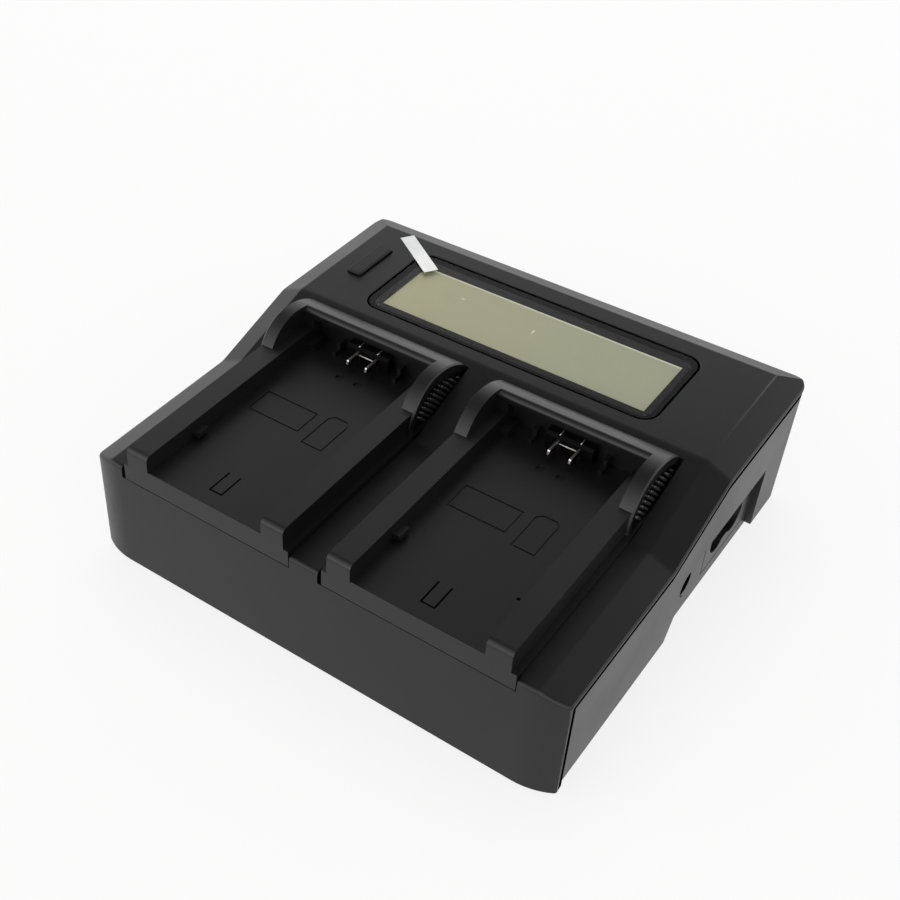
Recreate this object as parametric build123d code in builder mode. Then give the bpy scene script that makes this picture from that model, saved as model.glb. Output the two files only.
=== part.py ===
# Twin-bay camera battery charger in millimetres: +Z up, front towards -Y, origin on the table under the middle
import os
from math import asin, cos, degrees, hypot, radians, sqrt, tan

from build123d import *

os.makedirs("parts", exist_ok=True)

# Case
case_width = 144.0
front_y = -66.4
back_y = 66.9
corner_reach = 10.5
front_corner_radius = 20.0
back_corner_radius = 5.0
front_lean = 0.042
side_draft = 1.0
skin = 2.0
floor_thick = 2.2
side_wall = 2.2
foot_proud = 1.0

# Deck profile, heights above the case bottom
low_rim = 30.8
high_rim = 39.8
bevel_rise = 3.25
bevel_run = 7.4
ramp_front_y = -12.2
ramp_back_y = 16.4
ramp_blend = 6.0
deck_edge_radius = 1.2
bevel_edge_radius = 1.6
rim_edge_break = 0.4

# Seam between cover and base
lip = 0.9
groove = 0.65
skirt = 3.0
skirt_thick = 1.5
seam_clear = 0.15
edge_clear = 0.2

# Battery plates
bay_pitch = 64.3
plate_width = 51.1
tier_ledge = 1.55
tier_rise = 1.6
tray_floor_rise = 2.75
rail_rise = 7.6
rail_width = 6.85
plate_back_y = 14.0
plate_clear = 0.25
flange_drop = 3.3
flange_thick = 2.0
flange_side_gap = 1.2
hood_front_y = -10.2
hood_peak_y = 1.0
hood_peak_rise = 13.9
hood_back_rise = 9.0
hood_arm = 3.55
hood_bar_y = 4.6
hood_edge_break = 0.4
cheek_proud = 0.6
cheek_lip = 2.9
cheek_lip_front = 1.2
bar_edge_radius = 1.4
tray_back_y = 7.6
sill_edge_radius = 0.4
rail_nose_radius = 1.8

# Slide under each plate
runner_inset = 4.85
runner_neck = 2.4
tongue_reach = 3.0
tongue_thick = 1.1
slide_lip = 1.6
slide_clear = 0.25
slide_back_y = 9.0
bay_floor = 1.8

# Details in each tray, places from the middle of the plate
grip_recess = 1.1
grip_gap = 2.0
grip_gap_front = 1.2
grip_ribs = 11
grip_pitch = 1.435
grip_rib_width = 0.72
grip_rib_length = 24.0
grip_rib_sunk = 0.1
grip_lean = 45.0
grip_mid_y = 1.9
grip_mid_rise = 5.1
slit_width = 0.5
latch_width = 4.25
latch_length = 7.9
latch_front_y = -60.2
mark_depth = 0.25
mark_line = 0.45
mark_width = 17.1
mark_length = 9.1
mark_x = -6.4
mark_y = -25.1
arch_width = 6.8
arch_length = 13.6
arch_corner = 1.5
arch_x = 8.6
arch_y = -25.5
stop_width = 4.4
stop_length = 4.0
stop_thick = 1.3
stop_rise = 0.9
stop_y = -45.6
boss_width = 5.6
boss_length = 4.6
boss_height = 2.4
boss_mid_y = 3.2
hook_x = 10.35
hook_thick = 1.2
hook_length = 5.0
hook_foot = 1.1
hook_post = 2.6
hook_height = 3.0
dimple_x = 3.0
dimple_y = -4.3
dimple_radius = 1.2
dimple_depth = 0.5
mark_hole_x = 16.0
mark_hole_y = -46.2
mark_hole_width = 0.9
mark_hole_depth = 1.0

# Contacts
blade_gauge = 6.2
blade_thick = 0.6
blade_height = 2.2
blade_length = 7.2
blade_tip_y = -0.8
blade_rise = 1.1
blade_tail = 1.4
blade_fit = 0.05
terminal_width = 14.0
terminal_height = 4.6
terminal_depth = 3.0
mouth_clear = 3.4
pad_pitch = 5.0
pad_width = 3.0
pad_length = 14.0
pad_thick = 0.3
pad_fit = 0.05
spring_y = -3.0
spring_width = 2.2
spring_thick = 0.4
spring_length = 7.0
spring_room = 0.8
spring_crown = 2.4
contact_gap = 0.15
connector_width = 24.0
connector_depth = 10.0
connector_height = 5.0
stake_gauge = 18.0
stake_width = 2.4
stake_head = 0.8
stake_fit = 0.1
lead_width = 7.0
lead_thick = 1.3
lead_straight = 4.0
lead_bow = 5.0
lead_bend = 3.0

# Display
window_side = 17.9
window_front_y = 21.0
window_back_y = 54.0
window_radius = 5.0
window_thick = 0.9
window_sunk = 0.3
window_edge_break = 0.25
window_clear = 0.15
window_ledge = 2.4
view_side = 4.4
view_front_y = 25.7
view_back_y = 49.1
frame_lip = 0.5
frame_clear = 0.2
frame_flange = 1.8
frame_flange_thick = 1.2
lcd_thick = 2.2
lcd_margin = 0.8
guide_thick = 3.0
display_board_thick = 1.6
display_board_end = 3.9
display_board_inset = 0.5
display_post = 3.4
display_post_gap = 1.8
display_post_inset = 3.2
tab_width = 4.4
tab_length = 20.0
tab_thick = 0.2
tab_angle = -34.5
tab_side = 0.6
tab_inset = 2.1

# Mode button
button_side = 7.7
button_y = 39.9
button_width = 4.8
button_length = 17.0
button_proud = 1.0
button_clear = 0.3
button_travel = 0.4
button_flange = 0.8
button_flange_thick = 1.0
button_stem = 3.0
button_stem_length = 0.6
button_edge_break = 0.4
button_corner = 0.9
switch_size = 5.0
switch_height = 2.6
plunger_width = 2.4
plunger_clear = 0.15
plunger_sunk = 0.6

# Sockets, heights above the case bottom
pocket_depth = 2.0
pocket_top = 20.8
pocket_front_y = -6.8
pocket_slant = 0.5
pocket_back_y = 47.5
pocket_backing = 2.0
socket_height = 11.6
inlet_y = 30.8
inlet_face_width = 26.8
inlet_face_height = 14.6
inlet_lobe = 4.9
inlet_lobe_gauge = 9.9
inlet_waist = 7.0
inlet_face_thick = 2.0
inlet_wall = 1.5
inlet_depth = 11.0
inlet_body_depth = 16.0
socket_clear = 0.3
pin_diameter = 2.4
pin_gauge = 8.6
pin_length = 8.5
jack_y = 0.6
jack_height = 16.0
jack_size = 9.0
jack_bore = 5.8
jack_collar = 0.7
jack_collar_proud = 1.5
jack_gap = 0.1
jack_depth = 10.0
jack_body_depth = 13.0
jack_pin = 2.0
jack_pin_sunk = 1.0

# Boards
board_thick = 1.6
board_left_gap = 14.0
board_right_gap = 8.0
board_front_y = -44.0
board_back_y = 46.0
board_rise = 4.0
board_post = 5.0
board_post_inset = 5.0
inlet_post_gap = 18.0
peg_width = 2.4
peg_fit = 0.1
peg_proud = 0.8

# Parts on the main board
core_width = 28.0
core_depth = 11.0
core_height = 21.0
core_leg = 4.0
core_yoke = 4.0
core_centre = 8.0
core_x = 2.0
core_y = 6.0
winding_clear = 0.2
winding_build = 5.4
winding_corner = 2.4
mains_cap_diameter = 16.0
mains_cap_height = 22.0
mains_cap_gap = 28.0
mains_cap_y = 31.0
output_cap_diameter = 8.0
output_cap_height = 15.0
output_caps = 2
output_cap_pitch = 10.0
output_cap_gap = 20.0
output_cap_y = 22.0
choke_outer = 17.0
choke_inner = 8.0
choke_height = 7.5
choke_edge = 0.8
choke_gap = 30.0
choke_y = 10.0
sink_width = 40.0
sink_height = 19.0
sink_plate = 2.0
sink_fin = 1.0
sink_fin_depth = 9.0
sink_fins = 7
sink_x = -6.0
sink_y = -24.0
fuse_width = 8.4
fuse_length = 4.0
fuse_height = 8.0
fuse_corner = 0.8
fuse_gap = 16.0
fuse_y = 8.0
ribbon_width = 16.0
ribbon_thick = 0.3
ribbon_x = -16.0
ribbon_top_y = 44.0
ribbon_bottom_y = 36.0
ribbon_bend = 3.0

# Fasteners and feet
boss_inset = 8.4
boss_back_y = 57.5
boss_post = 8.0
boss_split = 14.0
catch_inset = 26.0
catch_width = 8.0
catch_rise = 10.0
catch_reach = 2.5
catch_height = 3.0
catch_lip = 1.6
catch_thick = 2.0
screw_diameter = 2.9
screw_clear = 0.1
screw_head = 5.4
screw_head_thick = 1.8
screw_head_depth = 7.0
screw_bite = 8.0
foot_width = 11.0
foot_corner = 2.5
foot_inset = 12.0
foot_front_y = -40.0
foot_back_y = 40.0
vent_slots = 7
vent_pitch = 5.0
vent_width = 2.2
vent_length = 26.0

# Worked-out places
half = case_width / 2
z0 = foot_proud
low_deck = z0 + low_rim + bevel_rise
high_deck = z0 + high_rim + bevel_rise
deck_half = half - bevel_run
bevel_slope = bevel_rise / bevel_run
bevel_face = hypot(bevel_run, bevel_rise)
front_flat = case_width - 2 * corner_reach
corner_turn = degrees(asin(corner_reach / front_corner_radius))
crease_y = front_y + front_corner_radius - sqrt(front_corner_radius**2 - corner_reach**2)
wall_in_x = half - side_wall
wall_in_y = back_y - side_wall
skirt_out_x = wall_in_x - seam_clear
skirt_in_x = skirt_out_x - skirt_thick
skirt_in_y = wall_in_y - seam_clear - skirt_thick
bay_x = bay_pitch / 2
tier_width = plate_width + 2 * tier_ledge
runner_gauge = plate_width - 2 * runner_inset
window_width = 2 * (deck_half - window_side)
view_width = window_width - 2 * view_side
boss_x = half - boss_inset
foot_x = half - foot_inset
button_x = button_side - deck_half
board_left = board_left_gap - half
board_right = half - board_right_gap
low_ceiling = low_deck - skin
high_ceiling = high_deck - skin
plate_bottom = low_deck + 0.1
tier_top = low_deck + tier_rise
tray_floor = low_deck + tray_floor_rise
rail_top = low_deck + rail_rise
flange_bottom = low_deck - flange_drop
slide_roof = low_deck - slide_lip
slide_floor = slide_roof - tongue_thick - 2 * slide_clear
bay_under = slide_floor - bay_floor
front_up = (0, front_lean, 1)
lean_length = sqrt(1 + front_lean**2)
window_mid = (window_front_y + window_back_y) / 2
view_mid = (view_front_y + view_back_y) / 2
sight_width = window_width - 2 * window_ledge
sight_length = window_back_y - window_front_y - 2 * window_ledge
window_bottom = high_deck - window_sunk - window_thick
lcd_top = window_bottom - edge_clear / 2 - frame_lip
display_board_top = lcd_top - lcd_thick - guide_thick
display_board_left = button_x - button_width / 2
display_board_right = window_width / 2 + display_board_end
display_board_front_y = window_front_y - display_board_inset
display_board_back_y = window_back_y - display_board_inset
display_post_left = -sight_width / 2 - frame_flange - display_post_gap - display_post / 2
display_post_right = display_board_right - display_post / 2
display_posts = (
    (display_post_left, display_board_front_y + display_post_inset),
    (display_post_right, display_board_front_y + display_post_inset),
    (display_post_left, display_board_back_y - display_post_inset),
    (display_post_right, display_board_back_y - display_post_inset),
)
board_z = z0 + board_rise
board_top = board_z + board_thick
post_points = (
    (board_left + board_post_inset, board_front_y + board_post_inset),
    (board_right - board_post_inset, board_front_y + board_post_inset),
    (board_left + board_post_inset, board_back_y - board_post_inset),
    (board_right - inlet_post_gap, board_back_y - board_post_inset),
)
foot_points = (
    (foot_x, foot_front_y),
    (-foot_x, foot_front_y),
    (foot_x, foot_back_y),
    (-foot_x, foot_back_y),
)
boss_points = ((boss_x, boss_back_y), (-boss_x, boss_back_y))
catch_x = half - catch_inset
catch_y = front_y + skin + front_lean * catch_rise + catch_reach
draft_in = tan(radians(side_draft)) * high_rim
pocket_x = half - draft_in + tan(radians(side_draft)) * socket_height - pocket_depth
socket_z = z0 + socket_height
jack_z = z0 + jack_height
jack_face = pocket_x + jack_collar_proud
hood_peak = low_deck + hood_peak_rise
hood_heel = low_deck + hood_back_rise
hood_climb = hood_peak - rail_top
hood_radius = ((hood_peak_y - hood_front_y) ** 2 + hood_climb**2) / (2 * hood_climb)
cheek_x = plate_width / 2 + cheek_proud
cheek_foot_y = hood_peak_y - sqrt(hood_radius**2 - (tier_top - hood_peak + hood_radius) ** 2)
blade_root_y = blade_tip_y + blade_length
pad_back_y = blade_root_y + pad_fit
glass_width = view_width + 2 * lcd_margin
glass_length = view_back_y - view_front_y + 2 * lcd_margin

# Outline of the side, with the ramp blended into both decks
with BuildSketch(Plane.YZ) as deck_profile:
    with BuildLine():
        Polyline(
            (front_y - 10, z0 - 10),
            (front_y - 10, low_deck),
            (ramp_front_y, low_deck),
            (ramp_back_y, high_deck),
            (back_y + 10, high_deck),
            (back_y + 10, z0 - 10),
            close=True,
        )
    make_face()
    ramp_corners = deck_profile.vertices().filter_by(
        lambda v: ramp_front_y - 1 < v.X < ramp_back_y + 1
    )
    fillet(ramp_corners, radius=ramp_blend)

# Outline of the case seen from above, at its bottom edge
with BuildSketch(Plane.XY.offset(z0)) as case_plan:
    with BuildLine():
        plan_back = back_y - front_lean * high_rim
        Line((0, front_y), (front_flat / 2, front_y))
        arc = CenterArc(
            (front_flat / 2, front_y + front_corner_radius), front_corner_radius, -90, corner_turn
        )
        Line(arc @ 1, (half, plan_back - back_corner_radius))
        turn = CenterArc(
            (half - back_corner_radius, plan_back - back_corner_radius), back_corner_radius, 0, 90
        )
        Line(turn @ 1, (0, plan_back))
        mirror(about=Plane.YZ)
    make_face()

# Space under the decks and the bevels
with BuildPart() as roof:
    extrude(deck_profile.sketch, amount=deck_half, both=True)
    extrude(
        Pos(deck_half, 0, 0) * deck_profile.sketch,
        amount=bevel_face * 1.2,
        dir=(bevel_run, 0, -bevel_rise),
    )
    extrude(
        Pos(-deck_half, 0, 0) * deck_profile.sketch,
        amount=bevel_face * 1.2,
        dir=(-bevel_run, 0, -bevel_rise),
    )
    with BuildSketch(Plane.YZ):
        with BuildLine():
            Polyline(
                (back_y - bevel_run - 10, high_deck + 10 * bevel_slope),
                (back_y + 20, high_deck + 10 * bevel_slope),
                (back_y + 20, z0 + high_rim - 20 * bevel_slope),
                close=True,
            )
        make_face()
    extrude(amount=case_width, both=True, mode=Mode.SUBTRACT)

# Hollow of the cover, kept clear of the two bays
with BuildPart() as cover_hollow:
    with BuildSketch(Plane.YZ):
        with BuildLine():
            Polyline(
                (front_y + skin - front_lean * 10, z0 - 10),
                (front_y + skin + front_lean * (low_ceiling - z0), low_ceiling),
                (ramp_front_y, low_ceiling),
                (ramp_back_y, high_ceiling),
                (back_y - bevel_run, high_ceiling),
                (skirt_in_y, z0 + high_rim - skin),
                (skirt_in_y, z0 - 10),
                close=True,
            )
        make_face()
    extrude(amount=skirt_in_x, both=True)
    with BuildSketch(Plane.YZ.offset(skirt_in_x)):
        with BuildLine():
            Polyline(
                (front_y - 10, low_ceiling - bevel_run * bevel_slope),
                (ramp_front_y, low_ceiling - bevel_run * bevel_slope),
                (ramp_back_y, high_ceiling - bevel_run * bevel_slope),
                (back_y + 10, high_ceiling - bevel_run * bevel_slope),
                (back_y + 10, high_ceiling + 10),
                (front_y - 10, high_ceiling + 10),
                close=True,
            )
        make_face()
    extrude(
        amount=bevel_face * skirt_in_x / bevel_run,
        dir=(-bevel_run, 0, bevel_rise),
        mode=Mode.SUBTRACT,
    )
    mirror(about=Plane.YZ, mode=Mode.INTERSECT)
    with Locations((bay_x, 0, 0), (-bay_x, 0, 0)):
        with Locations((0, front_y, bay_under)):
            Box(
                runner_gauge + 2 * tongue_reach + 4 * skin,
                slide_back_y + 2 * skin - front_y,
                50,
                align=(Align.CENTER, Align.MIN, Align.MIN),
                mode=Mode.SUBTRACT,
            )
        with Locations((0, ramp_front_y - 10, low_ceiling)):
            Box(
                tier_width + 2 * plate_clear + 2 * skin,
                plate_back_y + plate_clear + skin - ramp_front_y + 10,
                50,
                align=(Align.CENTER, Align.MIN, Align.MIN),
                mode=Mode.SUBTRACT,
            )

# Room on each side and at the back for the walls of the base
with BuildPart() as wall_room:
    with BuildSketch(Plane.YZ.offset(skirt_out_x)):
        with BuildLine():
            start_y = crease_y + lip
            Polyline(
                (start_y - front_lean * 10, z0 - 10),
                (start_y + front_lean * (low_rim - lip), z0 + low_rim - lip),
                (ramp_front_y, z0 + low_rim - lip),
                (ramp_back_y, z0 + high_rim - lip),
                (back_y + 10, z0 + high_rim - lip),
                (back_y + 10, z0 - 10),
                close=True,
            )
        make_face()
    extrude(amount=20)
    with BuildSketch(Plane.YZ.offset(skirt_in_x - 0.5)):
        with BuildLine():
            under_y = crease_y + lip + skirt
            Polyline(
                (under_y - front_lean * 10, z0 - 10),
                (under_y + front_lean * (low_rim - lip - skirt), z0 + low_rim - lip - skirt),
                (ramp_front_y, z0 + low_rim - lip - skirt),
                (ramp_back_y, z0 + high_rim - lip - skirt),
                (back_y + 10, z0 + high_rim - lip - skirt),
                (back_y + 10, z0 - 10),
                close=True,
            )
        make_face()
    extrude(amount=20)
    mirror(about=Plane.YZ)
    with Locations((0, wall_in_y - seam_clear, z0 + high_rim - lip)):
        Box(2 * case_width, case_width, case_width, align=(Align.CENTER, Align.MIN, Align.MAX))
    with Locations((0, skirt_in_y - 0.5, z0 + high_rim - lip - skirt)):
        Box(2 * case_width, case_width, case_width, align=(Align.CENTER, Align.MIN, Align.MAX))

# Top cover: decks, ramp, bevels and front wall in one moulding
with BuildPart() as top_cover:
    extrude(case_plan.sketch, amount=60 * lean_length, dir=front_up)
    add(roof.part, mode=Mode.INTERSECT)
    split(bisect_by=Plane.XY.offset(z0 + edge_clear), keep=Keep.TOP)
    above = top_cover.edges().filter_by(lambda e: e.center().Z > z0 + low_rim / 2 + 4)
    deck_lines = above.filter_by(lambda e: abs(abs(e.center().X) - deck_half) < 0.05)
    back_line = above.filter_by(lambda e: abs(e.center().Y - back_y + bevel_run) < 0.05)
    mitres = above.filter_by(
        lambda e: e.center().Y > back_y - bevel_run
        and abs(abs(e.center().X) - deck_half - back_y + bevel_run - 0.0 + e.center().Y) < 0.6
        and e.geom_type == GeomType.LINE
        and e.length < 2 * bevel_run
    )
    fillet(deck_lines + back_line + mitres, radius=bevel_edge_radius)
    front_edges = top_cover.edges().filter_by(
        lambda e: e.center().Y < crease_y + 3
        and e.center().Z > z0 + low_rim - 0.5
        and abs(e.center().X) < half - 0.1
    )
    fillet(front_edges, radius=deck_edge_radius)
    rim_edges = top_cover.edges().filter_by(
        lambda e: abs(abs(e.center().X) - half) < 0.05 and e.center().Z > z0 + low_rim - 0.6
    )
    back_rim = top_cover.edges().filter_by(
        lambda e: e.center().Y > back_y - back_corner_radius
        and z0 + high_rim - 0.6 < e.center().Z < z0 + high_rim + 1
        and (abs(e.center().X) > half - 3.5 or abs(e.center().Y - back_y) < 0.1)
    )
    chamfer(rim_edges + back_rim, length=rim_edge_break)
    add(cover_hollow.part, mode=Mode.SUBTRACT)
    add(wall_room.part, mode=Mode.SUBTRACT)
    # Bays for the plates, their slides and the rebates in the front wall
    with Locations((bay_x, 0, 0), (-bay_x, 0, 0)):
        with Locations((0, ramp_front_y - 12, low_deck)):
            Box(
                tier_width + 2 * plate_clear,
                plate_back_y + plate_clear - ramp_front_y + 12,
                30,
                align=(Align.CENTER, Align.MIN, Align.MIN),
                mode=Mode.SUBTRACT,
            )
        with Locations((0, front_y - 5, slide_floor)):
            Box(
                runner_gauge + 2 * slide_clear,
                slide_back_y - front_y + 5,
                30,
                align=(Align.CENTER, Align.MIN, Align.MIN),
                mode=Mode.SUBTRACT,
            )
            Box(
                runner_gauge + 2 * tongue_reach + 2 * slide_clear,
                slide_back_y - front_y + 5,
                slide_roof - slide_floor,
                align=(Align.CENTER, Align.MIN, Align.MIN),
                mode=Mode.SUBTRACT,
            )
        rebate_y = front_y + front_lean * (low_deck - z0) + flange_thick + slide_clear
        with Locations((-tier_width / 2 - flange_side_gap, rebate_y, flange_bottom - slide_clear)):
            Box(
                tier_width + flange_side_gap + plate_clear,
                30,
                30,
                align=(Align.MIN, Align.MAX, Align.MIN),
                mode=Mode.SUBTRACT,
            )
        with Locations((0, spring_y, bay_under - 1)):
            Box(
                pad_pitch + spring_width + 2 * spring_room,
                spring_length + 2 * spring_room,
                bay_floor + 2,
                align=(Align.CENTER, Align.CENTER, Align.MIN),
                mode=Mode.SUBTRACT,
            )
        with Locations((stake_gauge / 2, spring_y, bay_under), (-stake_gauge / 2, spring_y, bay_under)):
            Box(
                stake_width,
                stake_width,
                connector_height + stake_head,
                align=(Align.CENTER, Align.CENTER, Align.MAX),
            )
    # Window recess and the sight opening below it
    with BuildSketch(Plane.XY.offset(high_deck)):
        with Locations((0, window_mid)):
            RectangleRounded(window_width, window_back_y - window_front_y, window_radius)
    extrude(amount=-(window_sunk + window_thick), mode=Mode.SUBTRACT)
    window_edge = top_cover.edges().filter_by(
        lambda e: abs(e.center().Z - high_deck) < 0.01
        and abs(e.center().X) < window_width / 2 + 0.1
        and window_front_y - 0.1 < e.center().Y < window_back_y + 0.1
    )
    chamfer(window_edge, length=window_edge_break)
    with BuildSketch(Plane.XY.offset(high_deck)):
        with Locations((0, window_mid)):
            RectangleRounded(sight_width, sight_length, window_radius - window_ledge)
    extrude(amount=-skin * 2, mode=Mode.SUBTRACT)
    # Opening for the button
    with BuildSketch(Plane.XY.offset(high_deck)):
        with Locations((button_x, button_y)):
            RectangleRounded(
                button_width + 2 * button_clear,
                button_length + 2 * button_clear,
                button_corner + button_clear,
            )
    extrude(amount=-skin * 2, mode=Mode.SUBTRACT)
    # Posts for the display board, each with a peg that is melted over behind it
    with BuildSketch(Plane.XY.offset(display_board_top)):
        with Locations(*display_posts):
            Rectangle(display_post, display_post)
    extrude(amount=high_ceiling + 0.2 - display_board_top)
    with BuildSketch(Plane.XY.offset(display_board_top)):
        with Locations(*display_posts):
            Rectangle(peg_width, peg_width)
    extrude(amount=-display_board_thick - peg_proud)
    # Posts for the two case screws at the back, and ledges inside the front wall
    with BuildSketch(Plane.XY.offset(z0 + boss_split)):
        with Locations(*boss_points):
            Rectangle(boss_post, boss_post)
    extrude(amount=high_ceiling + 0.2 - z0 - boss_split)
    with BuildSketch(Plane.XY.offset(z0 + boss_split)):
        with Locations(*boss_points):
            Circle(screw_diameter / 2 + screw_clear)
    extrude(amount=screw_bite + 1, mode=Mode.SUBTRACT)
    with Locations((catch_x, catch_y, z0 + catch_rise), (-catch_x, catch_y, z0 + catch_rise)):
        Box(
            catch_width,
            catch_reach + skin / 2,
            catch_height,
            align=(Align.CENTER, Align.MAX, Align.MIN),
        )
top_cover.part.label = "top_cover"
export_step(top_cover.part, "parts/top_cover.step")

# Base case: floor, side walls and back wall in one moulding
with BuildPart() as base_case:
    with BuildSketch(Plane.XY.offset(z0)):
        with BuildLine():
            base_back = back_y - draft_in
            base_half = half - draft_in
            base_corner = back_corner_radius
            Line((0, front_y), (base_half, front_y))
            Line((base_half, front_y), (base_half, base_back - base_corner))
            bend = CenterArc((base_half - base_corner, base_back - base_corner), base_corner, 0, 90)
            Line(bend @ 1, (0, base_back))
            mirror(about=Plane.YZ)
        make_face()
    extrude(amount=high_rim, taper=-side_draft)
    with Locations((0, front_y - 20, z0 + floor_thick)):
        Box(
            2 * wall_in_x,
            wall_in_y - front_y + 20,
            60,
            align=(Align.CENTER, Align.MIN, Align.MIN),
            mode=Mode.SUBTRACT,
        )
    with BuildSketch(Plane.YZ):
        with BuildLine():
            top_drop = lip + groove
            Polyline(
                (front_y - 20, z0 + low_rim - top_drop),
                (ramp_front_y, z0 + low_rim - top_drop),
                (ramp_back_y, z0 + high_rim - top_drop),
                (back_y + 20, z0 + high_rim - top_drop),
                (back_y + 20, z0 + case_width),
                (front_y - 20, z0 + case_width),
                close=True,
            )
        make_face()
    extrude(amount=case_width, both=True, mode=Mode.SUBTRACT)
    with BuildSketch(Plane.YZ):
        with BuildLine():
            wall_y = crease_y + lip + groove
            Polyline(
                (front_y - 20, z0 - 10),
                (wall_y - front_lean * 10, z0 - 10),
                (wall_y + front_lean * 90, z0 + 90),
                (front_y - 20, z0 + 90),
                close=True,
            )
        make_face()
    extrude(amount=case_width, both=True, mode=Mode.SUBTRACT)
    # Floor carried forward to the front wall, between the ends of the cover
    with Locations((0, front_y + skin + edge_clear + front_lean * floor_thick, z0)):
        Box(
            2 * (skirt_in_x - edge_clear),
            20,
            floor_thick,
            align=(Align.CENTER, Align.MIN, Align.MIN),
        )
    for side in (1, -1):
        with Locations((side * (skirt_in_x - edge_clear), front_y - 20, z0 - 1)):
            Box(
                skirt_thick + seam_clear + edge_clear,
                crease_y + lip + skirt + edge_clear - front_y + 20 + front_lean * low_rim,
                60,
                align=(Align.MIN if side > 0 else Align.MAX, Align.MIN, Align.MIN),
                mode=Mode.SUBTRACT,
            )
    # Socket pocket on the right side, with its backing
    with BuildSketch(Plane.YZ.offset(pocket_x - pocket_backing)):
        with BuildLine():
            Polyline(
                (pocket_front_y - skin, z0 + floor_thick / 2),
                (pocket_back_y + skin, z0 + floor_thick / 2),
                (pocket_back_y + skin, z0 + pocket_top + skin),
                (pocket_front_y + pocket_slant * pocket_top, z0 + pocket_top + skin),
                (pocket_front_y - skin, z0 + pocket_top / 3),
                close=True,
            )
        make_face()
    extrude(amount=wall_in_x - pocket_x + pocket_backing + 0.5)
    with BuildSketch(Plane.YZ.offset(pocket_x)):
        with BuildLine():
            Polyline(
                (pocket_front_y - pocket_slant * 5, z0 - 5),
                (pocket_back_y, z0 - 5),
                (pocket_back_y, z0 + pocket_top),
                (pocket_front_y + pocket_slant * pocket_top, z0 + pocket_top),
                close=True,
            )
        make_face()
    extrude(amount=20, mode=Mode.SUBTRACT)
    with Locations((pocket_x - 10, inlet_y, socket_z)):
        Box(
            40,
            inlet_face_width + 2 * socket_clear,
            inlet_face_height + 2 * socket_clear,
            mode=Mode.SUBTRACT,
        )
    with BuildSketch(Plane.YZ.offset(pocket_x - 10)):
        with Locations((jack_y, jack_z)):
            Circle(jack_bore / 2 + jack_collar + jack_gap)
    extrude(amount=20, mode=Mode.SUBTRACT)
    # Screw bosses, board posts with pegs, and vents
    with BuildSketch(Plane.XY.offset(z0)):
        with Locations(*boss_points):
            Rectangle(boss_post, boss_post)
    extrude(amount=boss_split - edge_clear / 2)
    with BuildSketch(Plane.XY.offset(z0)):
        with Locations(*boss_points):
            Circle(screw_diameter / 2 + screw_clear)
    extrude(amount=boss_split, mode=Mode.SUBTRACT)
    with BuildSketch(Plane.XY.offset(z0)):
        with Locations(*boss_points):
            Circle(screw_head / 2 + screw_clear)
    extrude(amount=screw_head_depth, mode=Mode.SUBTRACT)
    with BuildSketch(Plane.XY.offset(z0 + floor_thick / 2)):
        with Locations(*post_points):
            Rectangle(board_post, board_post)
    extrude(amount=board_rise - floor_thick / 2)
    with BuildSketch(Plane.XY.offset(board_z)):
        with Locations(*post_points):
            Rectangle(peg_width, peg_width)
    extrude(amount=board_thick + peg_proud)
    with BuildSketch(Plane.XY.offset(z0)):
        with GridLocations(vent_pitch, 0, vent_slots, 1):
            Rectangle(vent_width, vent_length)
    extrude(amount=floor_thick, mode=Mode.SUBTRACT)
    # Catches that reach over the ledges inside the front wall of the cover
    catch_top = catch_rise + catch_height + edge_clear
    for side in (1, -1):
        with Locations((side * catch_x, catch_y + edge_clear, z0 + floor_thick / 2)):
            Box(
                catch_width,
                catch_thick,
                catch_top + catch_thick - floor_thick / 2,
                align=(Align.CENTER, Align.MIN, Align.MIN),
            )
        with Locations((side * catch_x, catch_y + edge_clear + catch_thick, z0 + catch_top)):
            Box(
                catch_width,
                catch_thick + edge_clear + catch_lip,
                catch_thick,
                align=(Align.CENTER, Align.MAX, Align.MIN),
            )
base_case.part.label = "base_case"
export_step(base_case.part, "parts/base_case.step")

# Side outline of the hood down to the ledge of the plate, with its peak and its foot moved in
def hood_outline(drop, inset):
    with BuildSketch(Plane.YZ) as outline:
        with BuildLine():
            peak = (hood_peak_y, hood_peak - drop)
            foot = (cheek_foot_y + inset, tier_top)
            heel = (plate_back_y, hood_heel - drop)
            TangentArc(peak, foot, tangent=(-1, 0))
            TangentArc(peak, heel, tangent=(1, 0))
            Polyline(foot, (plate_back_y, tier_top), heel)
        make_face()
    return outline


hood_side = hood_outline(0, 0)
recess_side = hood_outline(cheek_lip, cheek_lip_front)
grip_field = hood_outline(cheek_lip + grip_gap, cheek_lip_front + grip_gap_front)

# Slanted finger ribs, kept inside the field below the lip of the hood
with BuildSketch(Plane.YZ) as grip_bars:
    with Locations(Location((grip_mid_y, low_deck + grip_mid_rise, 0), (0, 0, -grip_lean))):
        with GridLocations(0, grip_pitch, 1, grip_ribs):
            Rectangle(grip_rib_length, grip_rib_width)
    add(grip_field.sketch_local, mode=Mode.INTERSECT)

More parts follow.
